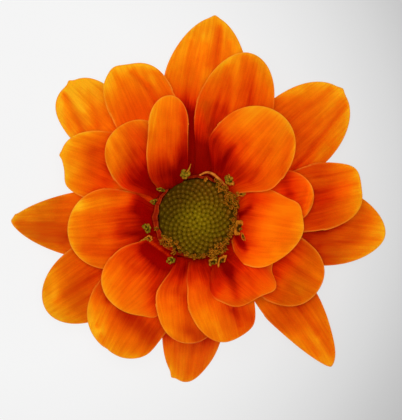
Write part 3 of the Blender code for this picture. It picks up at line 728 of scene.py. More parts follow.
def make_ray(number, name, whorl, ray, material):
    """One ray floret with its veins, folds and teeth."""
    rng = np.random.default_rng(100 + number)
    look = LOOKS[name]
    s = np.linspace(0, 1, BLADE_ROWS + 1)[:, None]
    u = np.linspace(-1, 1, BLADE_COLUMNS + 1)[None, :]
    top, t, v, across, length = ray_surface(whorl, ray, s, u)
    margin = margin_distance(top)
    open_blade = smooth_step((t - 0.12) / 0.3)
    vein = across / (1 - VEINS_MEET * t**2)
    wobble = 0.8 * np.sin(vein * 0.9 + rng.uniform(0, 6)) + 0.5 * np.sin(length * 0.16 + rng.uniform(0, 6))
    ridges = np.cos(2 * math.pi * vein / VEIN_PITCH + wobble)
    inside = smooth_step(margin / 1.2)
    height = VEIN_RELIEF * ridges * open_blade * inside
    height += 0.16 * soft_bends(rng, v, t) * open_blade
    waves = np.sin(length * rng.uniform(0.5, 0.8) + rng.uniform(0, 6) + 1.5 * np.sign(v))
    height += 0.12 * waves * np.abs(v) ** 3 * open_blade
    height += MARGIN_BEAD * np.exp(-((margin / MARGIN_BEAD_WIDTH) ** 2)) * open_blade
    fold_shading, ripened, shade_and_browned = np.zeros((3, *t.shape))
    plan = top[..., :2].copy()
    for form in look.forms:
        if isinstance(form, (Fold, Tint)):
            share = np.exp(-((segment_distance(plan, form.start, form.end) / form.width) ** 2))
        if isinstance(form, Fold):
            height -= form.depth * share
            fold_shading += form.depth * share
        elif isinstance(form, Tint):
            ripened += form.riper * share
            shade_and_browned += form.shade_and_browner * share
        else:
            away = np.linalg.norm(plan - np.array(form.place), axis=-1) / form.reach
            top += np.exp(-(away**2))[..., None] * np.array(form.move)
    top[..., 2] += height
    taper = smooth_step(margin / MARGIN_TAPER)
    thick = MARGIN_THICK + (BLADE_THICK - MARGIN_THICK) * taper
    thick = np.maximum(thick, CLAW_THICK * smooth_step(1 - t / 0.25))
    points, faces, owner, under = blade(top, thick)
    if whorl.rays is OUTER_RAYS:
        sink = points[:, 2].min() - TIP_CLEAR
        points[:, 2] -= sink * s.repeat(BLADE_COLUMNS + 1, axis=1).ravel()[owner] ** 2
    at = (t - TONE_FIRST) / TONE_STEP + 1
    tone = curve_through((look.tones[0] - 0.12, *look.tones, look.tones[-1] + 0.04), at)
    # Painted shade, with some real browning: how much darker each point is painted along its length and in
    # its tints, mostly where the rays above shade it.
    shade_and_browning = curve_through((look.shade_and_browns[0], *look.shade_and_browns, look.shade_and_browns[-1]), at)
    # Painted shade in the grooves and painted light on the ridges: each fold also makes the colour darker and
    # redder, or lighter.
    shade_and_browning += shade_and_browned + 0.5 * np.clip(fold_shading, -0.2, 0.4)
    # Painted light: the tone is made lighter in a band along the margin, where the rolled margin catches the
    # light.
    tone += ripened + 0.17 * np.exp(-margin / 1.3) * (0.25 + 0.75 * t) + 0.02 * soft_bends(rng, v, t, 3)
    # Painted light and shade across the blade: the lean makes one side lighter and the other darker.
    tone += look.lean * v * (1 - 0.6 * t) - 0.5 * np.clip(fold_shading, -0.25, 0.3) * smooth_step(t / 0.3)
    fields = {
        "tone": tone,
        "vein": vein,
        "length": length,
        "margin": margin,
        "seed": np.full_like(t, 7.3 * number),
        "shade_and_browning": shade_and_browning,
    }
    fields = {key: values.ravel()[owner] for key, values in fields.items()}
    fields["under"] = under
    return dress(solid(name, points, faces, material, fields), "ray_floret", "ray_florets")


petal = ray_material()
for ray_number, (ray_name, ray_whorl, ray_form) in enumerate(every_ray()):
    make_ray(ray_number, ray_name, ray_whorl, ray_form, petal)


# Disc

DISC_EDGE = 13.0
DISC_RISE = 4.2
DISC_FALL = 0.8
DISC_RADIUS = 7.9
DISC_REACH = 7.4
SPIRAL_START = 0.4085  # radius of the spiral's first step
SPIRAL_SPREAD = 0.54  # over a half, so that the florets grow towards the rim
GOLDEN_ANGLE = math.radians(137.508)
RIM_OPENED = ((32, 40, 1.9), (-12, 26, 1.0), (-54, 20, 2.1), (-135, 26, 1.9), (85, 14, 1.1))
RIM_CROWD = (  # direction, its spread, nearest and farthest radius, count
    (-138, 11, 7.4, 8.7, 16),
    (-50, 11, 7.4, 8.8, 26),
    (-64, 5, 8.2, 9.4, 8),
    (38, 14, 7.4, 8.3, 24),
    (22, 4, 7.8, 8.8, 8),
    (-94, 13, 7.5, 7.9, 22),
    (-4, 12, 7.1, 7.6, 14),
)


def height_above(x, y):
    """Height of the highest face that is over this place."""
    graph = bpy.context.evaluated_depsgraph_get()
    hit, place, *_ = bpy.context.scene.ray_cast(graph, Vector((x * MM, y * MM, 0.1)), Vector((0, 0, -1)))
    return place.z / MM if hit else 0.0


def disc_height(r):
    """The domed face of the disc."""
    return DISC_EDGE + DISC_RISE * (1 - np.minimum(1.0, r / DISC_RADIUS) ** 2) ** DISC_FALL


def disc_facing(r):
    """Slope of the dome at this radius, as how far its normal leans out for each unit up."""
    return float((disc_height(r - 0.1) - disc_height(r + 0.1)) / 0.2)


def lathe(profile, sides, bend=None):
    """Points and faces of a closed turned form. Its profile runs from one end on the axis to the other."""
    angle = np.linspace(0, 2 * math.pi, sides, endpoint=False)
    rings = np.array(profile, float)
    radius = rings[1:-1, 0][:, None] * np.ones(sides)
    height = rings[1:-1, 1][:, None] * np.ones(sides)
    if bend is not None:
        radius, height = bend(radius, height, angle[None, :])
    ring = np.stack((radius * np.cos(angle), radius * np.sin(angle), height), axis=-1)
    points = np.concatenate((ring.reshape(-1, 3), [[0, 0, rings[0, 1]], [0, 0, rings[-1, 1]]]))
    index = np.arange(radius.size).reshape(radius.shape)
    index = np.concatenate((index, index[:, :1]), axis=1)
    faces = quads(index)[:, ::-1].tolist()
    first, last = radius.size, radius.size + 1
    faces += [[first, int(b), int(a)] for a, b in zip(index[0, :-1], index[0, 1:])]
    faces += [[last, int(a), int(b)] for a, b in zip(index[-1, :-1], index[-1, 1:])]
    return points, faces


def swept(path, radii, sides=10, flat=1.0):
    """Points and faces of a rounded rod along a path, flattened upwards by a share."""
    path = np.array(path, float)
    along = unit(np.gradient(path, axis=0))
    side = unit(np.cross(along, (0.0, 0.0, 1.0)))
    up = np.cross(side, along)
    angle = np.linspace(0, 2 * math.pi, sides, endpoint=False)
    across = side[:, None] * np.cos(angle)[:, None] + up[:, None] * np.sin(angle)[:, None] * flat
    ring = path[:, None] + across * np.array(radii, float)[:, None, None]
    index = np.arange(len(path) * sides).reshape(len(path), sides)
    index = np.concatenate((index, index[:, :1]), axis=1)
    faces = quads(index).tolist()
    faces.append(index[0, :-1].tolist())
    faces.append(index[-1, :-1][::-1].tolist())
    return ring.reshape(-1, 3), faces


def smooth_path(corners, count):
    """A smooth curve through corners, as count points."""
    corners = np.array(corners, float)
    corners = np.concatenate((2 * corners[:1] - corners[1:2], corners, 2 * corners[-1:] - corners[-2:-1]))
    return curve_through(corners, np.linspace(1, len(corners) - 2, count))


class Gather:
    """Collects many small forms into one mesh."""

    def __init__(self):
        self.points = []
        self.faces = []
        self.fields = {}
        self.count = 0

    def put(self, points, faces, matrix=None, **fields):
        if matrix is not None:
            turn = np.array(matrix.to_3x3())
            points = points @ turn.T + np.array(matrix.translation)
        self.points.append(points)
        self.faces += [[k + self.count for k in face] for face in faces]
        for key, values in fields.items():
            full = np.broadcast_to(np.asarray(values, float), (len(points),))
            self.fields.setdefault(key, []).append(full)
        self.count += len(points)

    def make(self, name, material):
        fields = {key: np.concatenate(values) for key, values in self.fields.items()}
        return solid(name, np.concatenate(self.points), self.faces, material, fields)


def standing(x, y, z, lean_out, spin, scale=1.0, lean_side=(0.0, 0.0)):
    """A matrix that stands a small form on the disc, leaning out from the axis."""
    reach = math.hypot(x, y)
    out = Vector((x / reach, y / reach, 0.0)) if reach > 1e-6 else Vector((1.0, 0.0, 0.0))
    up = (out * lean_out + Vector((*lean_side, 1.0))).normalized()
    turn = Vector((0, 0, 1)).rotation_difference(up).to_matrix() @ Matrix.Rotation(spin, 3, "Z")
    return Matrix.Translation((x, y, z)) @ (turn * scale).to_4x4()


def crevice_shade_material():
    nodes = Nodes("disc_crevice_shade", {"Specular IOR Level": 0.02})
    spots = nodes.noise(nodes.place(), 900.0, 2.0)
    # Painted shade: the dome under the florets is painted dark brown for the shade in the crevices between
    # them.
    colour = nodes.ramp(spots, ((0.3, (0.045, 0.022, 0.0003)), (0.7, (0.09, 0.045, 0.0006))))
    return nodes.finish(colour, 0.9, spots, 0.1)


def make_dome():
    profile = [(0.0, 12.6), (7.4, 12.6)]
    for r in np.linspace(7.6, 0.2, 24):
        profile.append((r, float(disc_height(r)) - 0.3))
    profile.append((0.0, float(disc_height(0.0)) - 0.3))
    points, faces = lathe(profile, 72)
    dress(solid("disc_dome", points, faces, crevice_shade_material()), "disc_floret", "disc_florets")


def bud_material():
    nodes = Nodes("closed_floret_olive", {
        "Specular IOR Level": 0.05,
        "Specular Tint": (1.0, 0.7, 0.2, 1.0),
        "Subsurface Weight": 0.1,
        "Subsurface Scale": 0.4 * MM,
        "Subsurface Radius": (0.6, 0.5, 0.1),
    })
    mottle = nodes.between(nodes.noise(nodes.place(), 1400.0), 0.3, 0.7, -0.12, 0.12)
    tone = nodes.calc("ADD", nodes.read("age"), mottle)
    skin = nodes.ramp(tone, (
        (0.0, (0.175, 0.112, 0.0004)),
        (0.35, (0.165, 0.088, 0.0005)),
        (0.7, (0.170, 0.070, 0.0008)),
        (1.0, (0.24, 0.078, 0.002)),
    ))
    tip = nodes.mix(tone, (0.36, 0.25, 0.012), (0.46, 0.24, 0.03))
    colour = nodes.mix(nodes.calc("MULTIPLY", nodes.read("tip"), 0.5), skin, tip)
    shade = nodes.read("shade")
    colour = nodes.mix(1.0, colour, nodes.vector(shade, shade, shade), "MULTIPLY")
    grain = nodes.noise(nodes.place(), 6000.0, 2.0)
    return nodes.finish(colour, 0.6, grain, 0.02)


def rim_material():
    nodes = Nodes("open_floret_tan", {
        "Specular IOR Level": 0.06,
        "Specular Tint": (1.0, 0.6, 0.2, 1.0),
        "Subsurface Weight": 0.15,
        "Subsurface Scale": 0.5 * MM,
        "Subsurface Radius": (0.8, 0.4, 0.1),
    })
    mottle = nodes.between(nodes.noise(nodes.place(), 1900.0), 0.3, 0.7, -0.35, 0.35)
    tone = nodes.calc("ADD", nodes.read("age"), mottle)
    lip = nodes.ramp(tone, (
        (0.0, (0.11, 0.06, 0.001)),
        (0.35, (0.24, 0.10, 0.002)),
        (0.6, (0.37, 0.115, 0.003)),
        (0.8, (0.58, 0.215, 0.012)),
        (1.0, (0.34, 0.06, 0.002)),
    ))
    # Painted shade: points deep inside each floret's tube are painted nearly black.
    colour = nodes.mix(nodes.between(nodes.read("depth"), 0.3, 0.9), lip, (0.045, 0.014, 0.0005))
    grain = nodes.noise(nodes.place(), 5000.0, 2.0)
    return nodes.finish(colour, 0.6, grain, 0.03)


def closed_floret():
    """A plump five-lobed bud with a small point, and how near each of its points is to that."""
    profile = [
        (0.0, -0.7), (0.52, -0.6), (0.58, -0.3), (0.57, -0.06), (0.53, 0.06), (0.46, 0.13), (0.36, 0.17),
        (0.26, 0.185), (0.19, 0.21), (0.14, 0.27), (0.07, 0.30), (0.0, 0.28),
    ]

    def lobed(radius, height, angle):
        furrow = 0.5 - 0.5 * np.cos(5 * angle)
        high = smooth_step((height + 0.1) / 0.3)
        return radius, height - 0.05 * high * furrow * np.minimum(1.0, radius / 0.2)

    points, faces = lathe(profile, 20, lobed)
    reach = np.hypot(points[:, 0], points[:, 1])
    tip = (1 - smooth_step((reach - 0.12) / 0.14)) * (points[:, 2] > 0)
    return points, faces, tip


def open_floret(rng, opened):
    """A floret's tube with five lobes bent out as far as it has opened, and how deep each point is inside."""
    wide = 0.34 + 0.12 * opened
    out = 0.06 * opened
    profile = [
        (0.0, -0.75), (0.26, -0.7), (0.32, -0.2), (0.38, 0.1), (wide - 0.02, 0.36), (wide + 0.8 * out, 0.52),
        (wide + out, 0.60), (wide + 0.5 * out, 0.63), (wide - 0.05, 0.58), (wide - 0.09, 0.46),
        (wide - 0.12, 0.28), (0.16, 0.0), (0.0, -0.05),
    ]
    lobes = np.zeros((3, 5))
    lobes[0] = rng.uniform(-0.1, 0.45, 5)
    lobes[1] = rng.uniform(-0.35, 0.30, 5)
    lobes[2] = rng.uniform(-0.2, 0.2, 5)

    def lobed(radius, height, angle):
        turn = angle / (2 * math.pi) * 5 + 0.5
        which = np.minimum(turn.astype(int), 4)
        swell = 0.5 + 0.5 * np.cos(5 * angle)
        high = smooth_step((height - 0.2) / 0.35)
        reach = radius * (1 + high * (opened * lobes[0][which] * swell - 0.20 * (1 - swell)))
        rise = lobes[1][which] * swell - 0.22 * (1 - swell)
        return reach, height + high * rise

    points, faces = lathe(profile, 30, lobed)
    order = np.repeat(np.arange(len(profile) - 2), 30)
    depth = np.clip((order - 7.5) / 3.0, 0, 1)
    return points, faces, np.concatenate((depth, [0.0, 1.0]))


def rim_start(angle):
    """Radius beyond which the florets have opened, in this direction."""
    degrees = math.degrees(angle)
    radius = 8.2
    for middle, width, share in RIM_OPENED:
        away = (degrees - middle + 180) % 360 - 180
        radius -= share * math.exp(-((away / width) ** 2))
    return radius


def disc_reach(angle):
    """Radius of the outermost florets in this direction. A ray's broad foot covers the rim on the right."""
    away = (math.degrees(angle) + 6 + 180) % 360 - 180
    return DISC_REACH - 0.6 * math.exp(-((away / 20) ** 2))


def floret_style(rng):
    """Two curled arms that stand out of an opened floret."""
    gather = Gather()
    turn = rng.uniform(0, 6)
    for hand in (0.0, math.pi + rng.uniform(-0.6, 0.6)):
        out = np.array((math.cos(turn + hand), math.sin(turn + hand), 0.0))
        foot = np.array((0.0, 0.0, 0.15))
        bend = foot + (0.0, 0.0, 0.6) + out * 0.12
        over = bend + out * rng.uniform(0.15, 0.3) + (0.0, 0.0, rng.uniform(-0.05, 0.1))
        side = np.array((-out[1], out[0], 0.0)) * rng.uniform(-0.4, 0.4)
        end = over + side + out * 0.05 - (0.0, 0.0, 0.2)
        points, faces = swept(smooth_path((foot, bend, over, end), 11), np.linspace(0.085, 0.06, 11), 6)
        gather.put(points, faces)
    return np.concatenate(gather.points), gather.faces


def add_opened(gather, rng, x, y, z, lean, pitch, foot=1.0):
    """One opened floret with its style. Foot is the share of its tube that is below its place."""
    spin, side = rng.uniform(0, 6), rng.uniform(-0.5, 0.5, 2)
    place = standing(x, y, z, lean, spin, pitch * rng.uniform(0.7, 1.05), side)
    form, faces, depth = open_floret(rng, rng.uniform(0.3, 1.0))
    form[:, 2] = np.where(form[:, 2] < 0, form[:, 2] * foot, form[:, 2])
    gather.put(form, faces, place, depth=depth, age=rng.uniform(0.1, 1.0))
    form, faces = floret_style(rng)
    gather.put(form, faces, place, depth=0.0, age=rng.uniform(0.45, 0.95))


def make_florets():
    """The florets of the disc, in its spiral: closed in the middle, opened where the rim has ripened."""
    rng = np.random.default_rng(7)
    closed, opened = Gather(), Gather()
    points, faces, tip = closed_floret()
    for k in range(int((DISC_REACH / SPIRAL_START) ** (1 / SPIRAL_SPREAD))):
        r = SPIRAL_START * (k + 0.5) ** SPIRAL_SPREAD
        pitch = 0.82 + 0.2 * r / DISC_REACH
        turn = GOLDEN_ANGLE * k
        x, y = r * math.cos(turn), r * math.sin(turn)
        z = float(disc_height(r)) + rng.uniform(-0.03, 0.03)
        lean = min(1.2, 0.8 * disc_facing(min(max(r, 0.2), 7.2)))
        side = rng.uniform(-0.08, 0.08, 2)
        spin, chance = rng.uniform(0, 6), rng.uniform(-0.3, 0.3)
        ripe = r + chance - rim_start(turn)
        if r > disc_reach(turn):
            continue
        if ripe < 0:
            side_shade = 0.42 * smooth_step((1.0 - 0.8 * x + 0.5 * y) / 7.0)
            shade = (1 - 0.28 * smooth_step(r / 5.5)) * (1 - side_shade) * rng.uniform(0.9, 1.08)
            old = 0.05 + 0.3 * smooth_step(r / 6) + 0.35 * smooth_step((y + 1) / 7)
            old += 0.3 * smooth_step(1 + ripe / 0.8) + rng.uniform(-0.08, 0.08)
            place = standing(x, y, z, lean, spin, pitch * rng.uniform(0.96, 1.04), side)
            closed.put(points, faces, place, tip=tip, age=old, shade=shade)
            continue
        for drop in (0.1, 0.25):
            across, up = rng.uniform(-2, 2, 2) * (drop - 0.05)
            add_opened(opened, rng, x + across, y + up, z - drop, lean, pitch)
    for middle, spread, near, far, count in RIM_CROWD:
        for _ in range(count):
            turn = math.radians(rng.normal(middle, spread))
            r = rng.uniform(near, far)
            x, y = r * math.cos(turn), r * math.sin(turn)
            add_opened(opened, rng, x, y, height_above(x, y) - 0.1, 0.3, 1.0, 0.3)
    dress(closed.make("closed_florets", bud_material()), "disc_floret", "disc_florets")
    dress(opened.make("open_florets", rim_material()), "rim_floret", "rim_florets")


make_dome()


# What stands among the claws of the rays


def collar_material():
    nodes = Nodes("claw_red", {"Specular IOR Level": 0.12, "Specular Tint": (1.0, 0.45, 0.12, 1.0)})
    rise = nodes.read("rise")
    grain = nodes.noise(nodes.vector(nodes.read("round"), nodes.calc("MULTIPLY", rise, 0.3)), 2.5, 3.0)
    deep = nodes.ramp(grain, ((0.3, (0.16, 0.002, 0.0)), (0.7, (0.32, 0.008, 0.0005))))
    # Painted highlight: the upper edges of the tubes are painted lighter, varied by noise.
    lip = nodes.between(nodes.read("edge"), 0.3, 1.0)
    lip = nodes.calc("MULTIPLY", lip, nodes.between(grain, 0.4, 0.62, 0.1, 0.8))
    colour = nodes.mix(lip, deep, (0.36, 0.04, 0.005))
    return nodes.finish(colour, 0.6, grain, 0.06)


COLLAR_SPREADS = ((180, 20, 0.6), (-142, 16, 0.7))  # direction, its width, how far it reaches out there


def make_collar():
    """The tubes of the ray florets, side by side in a ring round the disc."""
    profile = [
        (0.0, 9.4), (7.7, 9.4), (8.3, 10.2), (8.45, 11.6), (8.4, 12.5), (8.3, 12.85), (8.2, 12.95),
        (8.1, 12.9), (8.0, 12.75), (7.9, 12.9), (7.8, 12.85), (7.75, 12.5), (7.7, 11.6), (7.6, 10.6),
        (0.0, 10.4),
    ]

    def tubes(radius, height, angle):
        high = smooth_step((height - 9.6) / 2.0)
        wave = 0.5 * np.cos(24 * angle) + 0.3 * np.cos(7 * angle + 1.0) + 0.3 * np.cos(13 * angle + 2.0)
        outer = smooth_step((radius - 7.85) / 0.4)
        for middle, width, share in COLLAR_SPREADS:
            away = (np.degrees(angle) - middle + 180) % 360 - 180
            wave = wave + outer * share / 0.16 * np.exp(-((away / width) ** 2))
        return radius + 0.16 * high * wave, height + 0.3 * high * np.cos(9 * angle + 0.6) * np.cos(5 * angle)

    points, faces = lathe(profile, 240, tubes)
    angle = np.arctan2(points[:, 1], points[:, 0])
    # Painted highlight: which rings of the profile are painted as lit edges.
    highlit_rings = np.zeros(len(profile) - 2)
    highlit_rings[[5, 8, 9]] = 1.0
    fields = {"rise": points[:, 2], "round": np.abs(angle) * 8.5, "edge": [*highlit_rings.repeat(240), 0.0, 0.0]}
    dress(solid("ray_tubes", points, faces, collar_material(), fields), "ray_floret", "ray_florets")


make_collar()
make_florets()


def stigma_material():
    nodes = Nodes("stigma_green", {
        "Specular IOR Level": 0.06,
        "Specular Tint": (1.0, 0.7, 0.3, 1.0),
        "Subsurface Weight": 0.1,
        "Subsurface Scale": 0.3 * MM,
    })
    spots = nodes.noise(nodes.place(), 2200.0, 2.0)
    green = nodes.ramp(spots, ((0.3, (0.09, 0.075, 0.001)), (0.7, (0.26, 0.19, 0.008))))
    tan = nodes.ramp(spots, ((0.3, (0.38, 0.085, 0.002)), (0.7, (0.66, 0.20, 0.012))))
    ripe = nodes.calc("ADD", nodes.read("tan"), nodes.between(spots, 0.35, 0.65, -0.2, 0.2))
    # Painted shade: deep inside the mouth of each tube the colour is painted nearly black.
    colour = nodes.mix(nodes.read("depth"), nodes.mix(ripe, green, tan), (0.05, 0.015, 0.0))
    return nodes.finish(colour, 0.6, spots, 0.05)


class Style(NamedTuple):
    """The style of a ray floret in the mouth of its tube."""

    x: float
    y: float
    heading: float  # degrees
    long: float  # half length of the mouth along the heading
    wide: float  # half width of the mouth
    tan: float  # from 0, green, to 1, tan
    arms: float = 1.0  # size of the two arms of the style
    spike: float = 0.0  # length of the pale point that stands past the mouth


STYLES = (
    Style(-2.4, 8.5, 60, 1.0, 0.8, 0.2, 1.3, 1.4),
    Style(6.5, 7.5, 105, 1.35, 0.9, 0.45, 1.25, 1.3),
    Style(9.1, 4.7, 0, 1.4, 0.55, 0.9, 0.5, 1.4),
    Style(8.6, -2.3, -70, 1.6, 1.35, 1.0, 0.5),
    Style(9.2, -4.0, -70, 0.9, 0.35, 1.2, 0.3),
    Style(3.2, -9.2, -100, 1.1, 0.85, 0.5, 0.4),
    Style(4.9, -8.9, 65, 1.6, 0.65, 1.2, 0.3),
    Style(-7.2, 5.5, 170, 0.9, 0.4, 0.4, 0.6),
    Style(-8.5, 3.0, 180, 0.9, 0.6, 0.25, 0.6),
    Style(-10.0, -2.2, 120, 1.0, 0.8, 0.2, 0.8),
    Style(-9.8, -4.4, 200, 1.0, 0.65, 0.9, 0.5, 0.9),
    Style(-5.3, -8.7, -150, 1.0, 0.7, 0.15, 0.8),
)


def make_styles():
    """The styles of the ray florets."""
    rng = np.random.default_rng(11)
    gather = Gather()
    profile = [
        (0.0, -0.3), (0.75, -0.2), (0.9, 0.0), (0.97, 0.25), (1.0, 0.4), (0.9, 0.52), (0.72, 0.54),
        (0.56, 0.46), (0.47, 0.25), (0.40, 0.12), (0.0, 0.08),
    ]
    # How much painted shade each ring of the mouth takes: the inner rings are painted darker.
    mouth_shade = np.concatenate((np.repeat(np.clip(np.arange(9) / 2 - 2.6, 0, 1), 40), [0.0, 1.0]))
    for style in STYLES:
        waves = rng.uniform(0, 6, 4)

        def ragged(radius, height, angle):
            high = smooth_step(height / 0.4)
            out = 0.12 * np.cos(3 * angle + waves[0]) + 0.09 * np.cos(7 * angle + waves[1])
            up = 0.16 * np.cos(2 * angle + waves[2]) + 0.12 * np.cos(5 * angle + waves[3])
            return radius * (1 + high * out), height + high * up

        foot = Vector((style.x, style.y, height_above(style.x, style.y)))
        turn = Matrix.Rotation(math.radians(style.heading), 4, "Z")
        place = Matrix.Translation(foot) @ turn
        points, faces = lathe(profile, 40, ragged)
        points = points * (style.long, style.wide, 0.9)
        for k in np.flatnonzero(points[:, 2] < 0.02):
            x, y, _ = place @ Vector(points[k])
            points[k, 2] = np.clip(height_above(x, y) - foot.z - 0.2, -0.6, 0.1)
        round_tan = style.tan + 0.25 * np.sin(2 * np.arctan2(points[:, 1], points[:, 0]) + waves[0])
        gather.put(points, faces, place, tan=round_tan, depth=mouth_shade)
        for hand in (-1, 1):
            corners = np.array((
                (-0.2, 0.0, 0.1),
                (0.0, hand * 0.30, 0.6),
                (0.35, hand * 0.50, 0.6),
                (0.65, hand * 0.25, 0.35),
            )) * (style.arms, style.arms, 1.0)
            radii = style.arms * (0.18 + 0.10 * np.sin(np.linspace(0.4, 3.0, 14)))
            points, faces = swept(smooth_path(corners, 14), radii)
            tans = np.repeat(0.3 * style.tan + np.linspace(-0.1, 0.35, 14), 10)
            gather.put(points, faces, place, tan=tans, depth=0.0)
        if style.spike:
            reach = style.long + style.spike
            corners = ((0.0, 0.0, 0.3), (0.5 * reach, -0.2, 0.9), (reach, 0.0, 0.8))
            points, faces = swept(smooth_path(corners, 14), np.linspace(0.26, 0.07, 14))
            gather.put(points, faces, place, tan=np.repeat(np.linspace(0.2, 1.1, 14), 10), depth=0.0)
    dress(gather.make("ray_styles", stigma_material()), "rim_floret", "rim_florets")


def make_strap():
    """A rolled strip of a ray's foot, on the upper right of the rim."""
    places = ((0.5, 8.3), (1.9, 8.9), (3.1, 8.6), (4.1, 7.8), (5.2, 6.8), (6.3, 5.5))
    path = [(x, y, height_above(x, y) + 0.1) for x, y in places]
    heights = smooth_path(path, 40)
    heights[:, 2] += 0.35 * np.sin(np.linspace(0, math.pi, 40))
    points, faces = swept(heights, 0.14 + 0.16 * np.sin(np.linspace(0.15, 3.0, 40)), 12, 1.5)
    nodes = Nodes("strap_orange", {"Specular IOR Level": 0.06, "Specular Tint": (1.0, 0.5, 0.1, 1.0)})
    grain = nodes.noise(nodes.place(), 1200.0, 2.0)
    colour = nodes.ramp(grain, ((0.3, (0.50, 0.11, 0.008)), (0.7, (0.80, 0.25, 0.03))))
    skin = nodes.finish(colour, 0.55, grain, 0.04)
    dress(solid("ray_foot_strip", points, faces, skin), "ray_floret", "rim_florets")


make_strap()
make_styles()


# Green cup under the head

CUP_FLOOR = 3.5
CUP_TOP = 8.3
CUP_THROAT = 2.5
CUP_RADIUS = 8.2
BRACT_ROWS_ROUND = ((12, 0.05, 0.62, 1.15), (13, 0.25, 0.84, 1.35), (13, 0.48, 0.98, 1.6))


def cup_place(share):
    """Radius, height and outward normal of the cup, from its foot at 0 to its lip at 1."""
    angle = share * math.pi / 2
    r = CUP_THROAT + (CUP_RADIUS - CUP_THROAT) * np.sin(angle)
    z = CUP_FLOOR + (CUP_TOP - CUP_FLOOR) * (1 - np.cos(angle))
    rise, spread = CUP_TOP - CUP_FLOOR, CUP_RADIUS - CUP_THROAT
    out = np.stack((rise * np.sin(angle), -spread * np.cos(angle)), axis=-1)
    return r, z, unit(out)


def bract_material():
    nodes = Nodes("bract_green", {
        "Specular IOR Level": 0.25,
        "Subsurface Weight": 0.1,
        "Subsurface Scale": 0.5 * MM,
    })
    along = nodes.calc("MULTIPLY", nodes.read("length"), 0.3)
    streaks = nodes.noise(nodes.vector(nodes.read("across"), along, nodes.read("seed")), 3.0, 3.0)
    green = nodes.ramp(streaks, ((0.3, (0.055, 0.10, 0.018)), (0.7, (0.13, 0.20, 0.045))))
    margin = nodes.read("margin")
    colour = nodes.mix(nodes.between(margin, 0.1, 0.45, 1.0, 0.0), green, (0.36, 0.25, 0.12))
    colour = nodes.mix(nodes.between(margin, 0.0, 0.14, 0.7, 0.0), colour, (0.14, 0.06, 0.02))
    down = nodes.noise(nodes.place(), 4200.0, 3.0, 0.7)
    colour = nodes.mix(nodes.between(down, 0.52, 0.75, 0.0, 0.35), colour, (0.42, 0.46, 0.34))
    return nodes.finish(colour, 0.7, down, 0.05)


def make_bracts():
    rng = np.random.default_rng(3)
    material = bract_material()
    s = np.linspace(0, 1, 23)[:, None]
    u = np.linspace(-1, 1, 17)[None, :]
    for row, (count, start, end, half_width) in enumerate(BRACT_ROWS_ROUND):
        bracts = Gather()
        for k in range(count):
            turn = 2 * math.pi * (k + 0.5 * row) / count
            share = start + (end - start) * s * rng.uniform(0.96, 1.0)
            narrowing = np.maximum(0.0, s - 0.35) / 0.65
            width = half_width * np.sqrt(1 - 0.985 * narrowing**2) * rng.uniform(0.94, 1.04)
            r, z, out = cup_place(share)
            keel = 0.14 * np.exp(-((u / 0.16) ** 2)) * (1 - 0.5 * s)
            ribs = 0.03 * np.cos(u * 9.0)
            height = 0.42 + 0.35 * s**2 - 0.28 * u**2 + keel + ribs
            reach = r + out[..., 0] * height
            level = np.minimum(z + out[..., 1] * height, CUP_TOP)
            angle = turn - u * width / reach
            top = np.stack((reach * np.cos(angle), reach * np.sin(angle), level), axis=-1)
            margin = margin_distance(top)
            thick = 0.1 + 0.28 * smooth_step(margin / 0.5)
            points, faces, owner, _ = blade(top, thick)
            fields = {
                "margin": margin,
                "across": u * width,
                "length": s * 6 + 0 * u,
                "seed": 0 * margin + k + 20 * row,
            }
            fields = {key: values.ravel()[owner] for key, values in fields.items()}
            bracts.put(points, faces, None, **fields)
        dress(bracts.make(("outer", "middle", "inner")[row] + "_bracts", material), "bract", "involucre")


def cup_material():
    nodes = Nodes("receptacle_green", {"Specular IOR Level": 0.2})
    spots = nodes.noise(nodes.place(), 700.0, 3.0)
    colour = nodes.ramp(spots, ((0.3, (0.10, 0.15, 0.03)), (0.7, (0.22, 0.27, 0.08))))
    return nodes.finish(colour, 0.75, spots, 0.15)


def make_cup():
    material = cup_material()
    profile = [(0.0, CUP_FLOOR)]
    for share in np.linspace(0, 1, 24):
        r, z, _ = cup_place(share)
        profile.append((float(r), float(z)))
    profile.append((0.0, CUP_TOP))
    points, faces = lathe(profile, 72)
    dress(solid("involucre_cup", points, faces, material), "bract", "involucre")
    profile = [
        (0.0, 8.5), (7.9, 8.5), (8.3, 8.8), (8.2, 9.4), (7.9, 10.0), (7.6, 10.4), (7.3, 12.4), (0.0, 12.4),
    ]

    def ridged(radius, height, angle):
        return radius * (1 + 0.012 * np.cos(48 * angle)), height

    points, faces = lathe(profile, 144, ridged)
    dress(solid("receptacle", points, faces, material), "bract", "ray_florets")


make_bracts()
make_cup()


# Stalk


def stalk_material():
    nodes = Nodes("stalk_green", {
        "Specular IOR Level": 0.25,
        "Subsurface Weight": 0.1,
        "Subsurface Scale": 0.8 * MM,
    })
    wall = nodes.read("wall")
    up = nodes.calc("MULTIPLY", nodes.read("rise"), 0.25)
    grain = nodes.noise(nodes.vector(nodes.read("round"), up), 2.2, 4.0, 0.6)
    skin = nodes.ramp(grain, ((0.3, (0.11, 0.17, 0.035)), (0.7, (0.24, 0.32, 0.09))))
    cells = nodes.noise(nodes.place(), 2600.0, 3.0)
    pith = nodes.ramp(cells, ((0.3, (0.42, 0.46, 0.22)), (0.7, (0.62, 0.64, 0.40))))
    ring = nodes.between(nodes.read("radius"), 1.25, 1.6, 0.0, 1.0)
    cut = nodes.mix(ring, pith, (0.26, 0.33, 0.10))
    colour = nodes.mix(wall, cut, skin)
    return nodes.finish(colour, 0.6, grain, 0.08)


